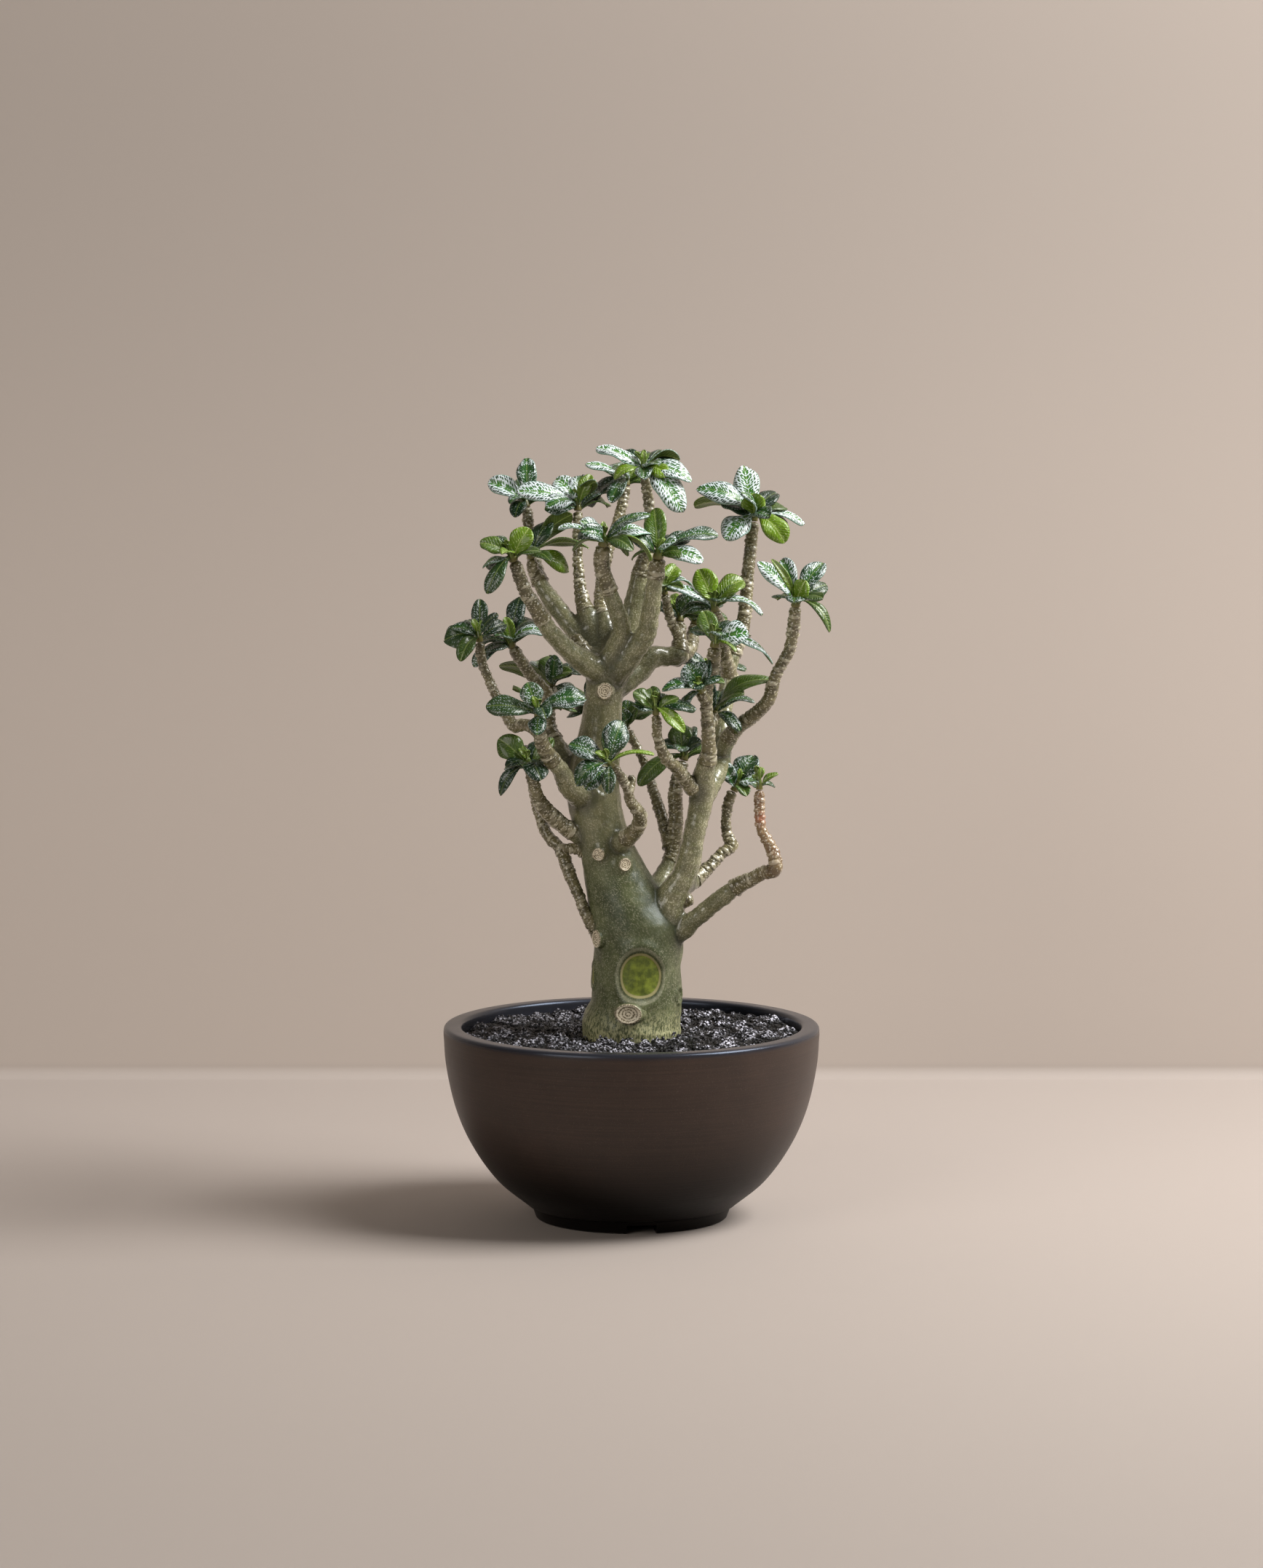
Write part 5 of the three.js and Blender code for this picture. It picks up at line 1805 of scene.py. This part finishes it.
@dataclass
class Rosette:
    """The leaves at a shoot's end, round its growing tip."""

    shoot: Shoot
    seed: int
    tip_share: float = 0.86
    tip_length: float = 6.5
    seat_gap: float = 0.35
    fan: tuple[float, ...] = (58.0, 26.0, 23.0, 10.0)

    def fan_behind(self) -> list[tuple[float, ...]]:
        """The leaves that fill the rosette's back, fanned away from the front.

        Returns:
            Leaves, as rows like those of a shoot.
        """
        draw = Draws(self.seed)
        spread, rise_of, length_of, width_of = self.fan
        rows = []
        for i in range(self.shoot.behind):
            azimuth = math.radians(90 + (i - (self.shoot.behind - 1) / 2) * spread + 14 * draw())
            rise = math.radians(rise_of + 12 * draw())
            length = length_of + 3 * draw()
            flat = length * math.cos(rise)
            rows.append((
                flat * math.cos(azimuth), flat * math.sin(azimuth), length * math.sin(rise),
                width_of + draw(), 0,
            ))
        return rows

    @staticmethod
    def across_of(grow: np.ndarray, turn: float) -> np.ndarray:
        """A direction square to the way that the shoot grows, at a turn about it."""
        return unit(np.cross(grow, (math.cos(turn), math.sin(turn), 0.3)))

    def leaves(self) -> tuple[list[Leaf], np.ndarray, np.ndarray, float]:
        """The leaves, and the growing tip's start, direction and radius.

        Returns:
            The leaves, the tip's start, the way it grows and its radius.
        """
        last, before = (np.array(row, float) for row in self.shoot.route[:-3:-1])
        grow = unit(last[:3] - before[:3])
        start = last[:3] + grow * self.seat_gap
        radius = last[3] * self.tip_share
        rows = [*self.shoot.leaves, *self.fan_behind()]
        looks = self.shoot.looks + "DMMD"[: self.shoot.behind]
        made = []
        for j, ((x, y, z, width, turn), letter) in enumerate(zip(rows, looks)):
            away = np.array((x, y, z), float)
            out = unit(away - grow * away.dot(grow)) * 0.45 * radius
            root = start + out + grow * (2.6 + (j % 3) * 0.9)
            made.append(Leaf(root, last[:3] + away, width, turn, LeafLook.read(letter)))
        draw = Draws(self.seed + 900)
        reach = float(np.mean([np.linalg.norm(row[:3]) for row in rows]))
        for k in range(1 + len(rows) // 2):
            across = self.across_of(grow, 2.4 * k + draw())
            root = start + across * 0.4 * radius + grow * (1.5 + 0.8 * draw())
            tip = root + across * reach * (0.72 + 0.12 * draw())
            tip = tip + grow * reach * (0.2 + 0.35 * draw())
            look = LeafLook.read("DMG"[k % 3])
            made.append(Leaf(root, tip, 0.37 * reach, 30 + 30 * draw(), look))
        for k in range(3):
            across = self.across_of(grow, 2.1 * k + draw())
            root = start + grow * (self.tip_length - 1.2) + across * 0.3 * radius
            tip = root + grow * (6.5 + 1.5 * draw()) + across * (2.2 + draw())
            made.append(Leaf(root, tip, 3.2, 40 * draw(), LeafLook.YOUNG))
        return made, start, grow, radius

    def growing_tip(self, grow: np.ndarray, radius: float) -> bpy.types.Mesh:
        """The green tip of the shoot, a round-edged cone about the origin.

        Args:
            grow: The way that the shoot grows.
            radius: The radius at the tip's foot.

        Returns:
            The cone's mesh, in millimetres.
        """
        shape = bmesh.new()
        bmesh.ops.create_cone(
            shape, cap_ends=True, segments=14, radius1=radius, radius2=radius * 0.45,
            depth=self.tip_length,
        )
        rings = [edge for edge in shape.edges if edge.calc_face_angle(0) > 1]
        bmesh.ops.bevel(
            shape, geom=rings, offset=radius * 0.3, segments=3, profile=0.5, affect="EDGES",
            material=-1,
        )
        upright = Vector((0, 0, 1)).rotation_difference(Vector(grow)).to_matrix().to_4x4()
        bmesh.ops.transform(shape, verts=shape.verts, matrix=upright)
        return finished(shape, "cone")

    def build(self, template: bpy.types.Mesh, form: np.ndarray, finish: bpy.types.Material) -> None:
        """The rosette as one piece.

        Args:
            template: The slab that each leaf is shaped from.
            form: The slab's corners.
            finish: The leaves' material.
        """
        leaves, start, grow, radius = self.leaves()
        draw = Draws(self.seed + 500)
        pile = Pile()
        flats = []
        even = np.ones(len(form))
        for leaf in leaves:
            places, flat = leaf.shaped(form, draw)
            flats.append(flat)
            pile.add(
                template, places, across=2 * form[:, 0] - 1, under=1.0 * (form[:, 2] < 0.5),
                tint=even * draw(), silver=even * leaf.look.silver,
                youth=even * np.clip(leaf.look.youth + 0.1 * draw(), 0, 1), woody=0 * even,
            )
        cone = self.growing_tip(grow, radius)
        places = places_of(cone)
        woody = smooth_step(places @ grow, 0.3 * self.tip_length, -0.1 * self.tip_length)
        even = np.ones(len(places))
        flats.append(np.column_stack([even * 0.2, even * 0.13]))
        pile.add(
            cone, places + start + grow * self.tip_length / 2, across=0 * even, under=0.6 * even,
            tint=0 * even, silver=0 * even, youth=0.4 * even, woody=woody,
        )
        mesh = pile.mesh("tuft_" + self.shoot.name)
        flat = np.concatenate(flats)
        corners = np.empty(len(mesh.loops), np.int32)
        mesh.loops.foreach_get("vertex_index", corners)
        layer = mesh.uv_layers.new(name="UVMap")
        layer.data.foreach_set("uv", flat[corners].astype(np.float32).ravel())
        mesh.shade_smooth()
        show(mesh, "leaf", finish, "leaves_" + self.shoot.name)


# ---------- the studio ----------


@dataclass(frozen=True)
class Lamp:
    """A square soft light aimed at the plant."""

    name: str
    place: tuple[float, float, float]
    size: float
    power: float
    colour: Colour

    def build(self, aim: Vector) -> None:
        """The light, aimed at a point.

        Args:
            aim: The point.
        """
        lamp = bpy.data.lights.new(self.name, "AREA")
        lamp.size, lamp.energy, lamp.color = self.size, self.power, self.colour
        holder = placed(self.name, lamp)
        holder.location = self.place
        holder.rotation_euler = (aim - Vector(self.place)).to_track_quat("-Z", "Y").to_euler()


@dataclass
class Studio:
    """A plain pale table before a plain wall, a big soft light at the right, and the camera."""

    cove: float = 0.008
    table_back: float = 0.437
    wall_height: float = 2.6
    width: float = 18.0
    front: float = 9.0
    aim: tuple[float, float, float] = (0.0, 0.0, 0.2)
    air: Colour = (1.0, 0.97, 0.93)
    air_light: float = 0.09
    eye: tuple[float, float, float] = (0.0, -2.86, 0.56)
    pitch: float = 6.47
    lens: float = 122.95
    film: float = 36.0
    lamps: tuple[Lamp, ...] = (
        Lamp("key", (1.36, -0.25, 1.6), 1.1, 72, (1.0, 0.98, 0.96)),
        Lamp("fill", (-1.5, -1.9, 1.1), 1.4, 20, (1.0, 0.93, 0.86)),
    )

    def sweep(self) -> bpy.types.Object:
        """The pale table that curves up into the wall behind it.

        Returns:
            The backdrop's object.
        """
        shape = bmesh.new()
        line = [(-self.front, 0)]
        for turn in np.radians(np.linspace(-90, 0, 13)):
            back, rise = self.cove * math.cos(turn), self.cove * (1 + math.sin(turn))
            line.append((self.table_back + back, rise))
        line.append((line[-1][0], self.wall_height))
        spots = [shape.verts.new((-self.width / 2, y, z)) for y, z in line]
        edges = [shape.edges.new(pair) for pair in zip(spots, spots[1:])]
        risen = bmesh.ops.extrude_edge_only(shape, edges=edges)
        far = [part for part in risen["geom"] if isinstance(part, bmesh.types.BMVert)]
        bmesh.ops.translate(shape, verts=far, vec=(self.width, 0, 0))
        bmesh.ops.recalc_face_normals(shape, faces=shape.faces)
        if sum(face.normal.z for face in shape.faces) < 0:
            bmesh.ops.reverse_faces(shape, faces=shape.faces)
        mesh = finished(shape, "backdrop")
        mesh.shade_smooth()
        mesh.set_sharp_from_angle(angle=SHARP)
        mesh.materials.append(BackdropFinish().make())
        return placed("backdrop", mesh)

    def camera(self) -> None:
        """The camera at the photograph's angle."""
        camera = bpy.data.cameras.new("camera")
        camera.lens, camera.sensor_fit, camera.sensor_height = self.lens, "VERTICAL", self.film
        camera.clip_start, camera.clip_end = 0.1, 30
        holder = placed("camera", camera)
        holder.location = self.eye
        holder.rotation_euler = (math.radians(90 - self.pitch), 0, 0)
        bpy.context.scene.camera = holder

    def build(self) -> None:
        """The backdrop, the lights and the camera."""
        self.sweep()
        for lamp in self.lamps:
            lamp.build(Vector(self.aim))
        bpy.context.scene.view_settings.view_transform = "Standard"
        world = bpy.data.worlds.new("world")
        world.use_nodes = True
        sky = world.node_tree.nodes["Background"].inputs
        sky["Color"].default_value = (*self.air, 1)
        sky["Strength"].default_value = self.air_light
        bpy.context.scene.world = world
        self.camera()


def main() -> None:
    """Builds the plant in its bowl and the studio."""
    logging.basicConfig(level=logging.INFO, format="%(message)s")
    bowl = Bowl()
    bowl.build()
    GritBed(bowl).build()
    Wood().build()
    template = slab()
    form = places_of(template)
    finish = LeafFinish().make()
    for number, shoot in enumerate(SHOOTS):
        if shoot.leaves:
            Rosette(shoot, 301 + number).build(template, form, finish)
    Studio().build()
    bpy.context.view_layer.update()


if __name__ == "__main__":
    main()
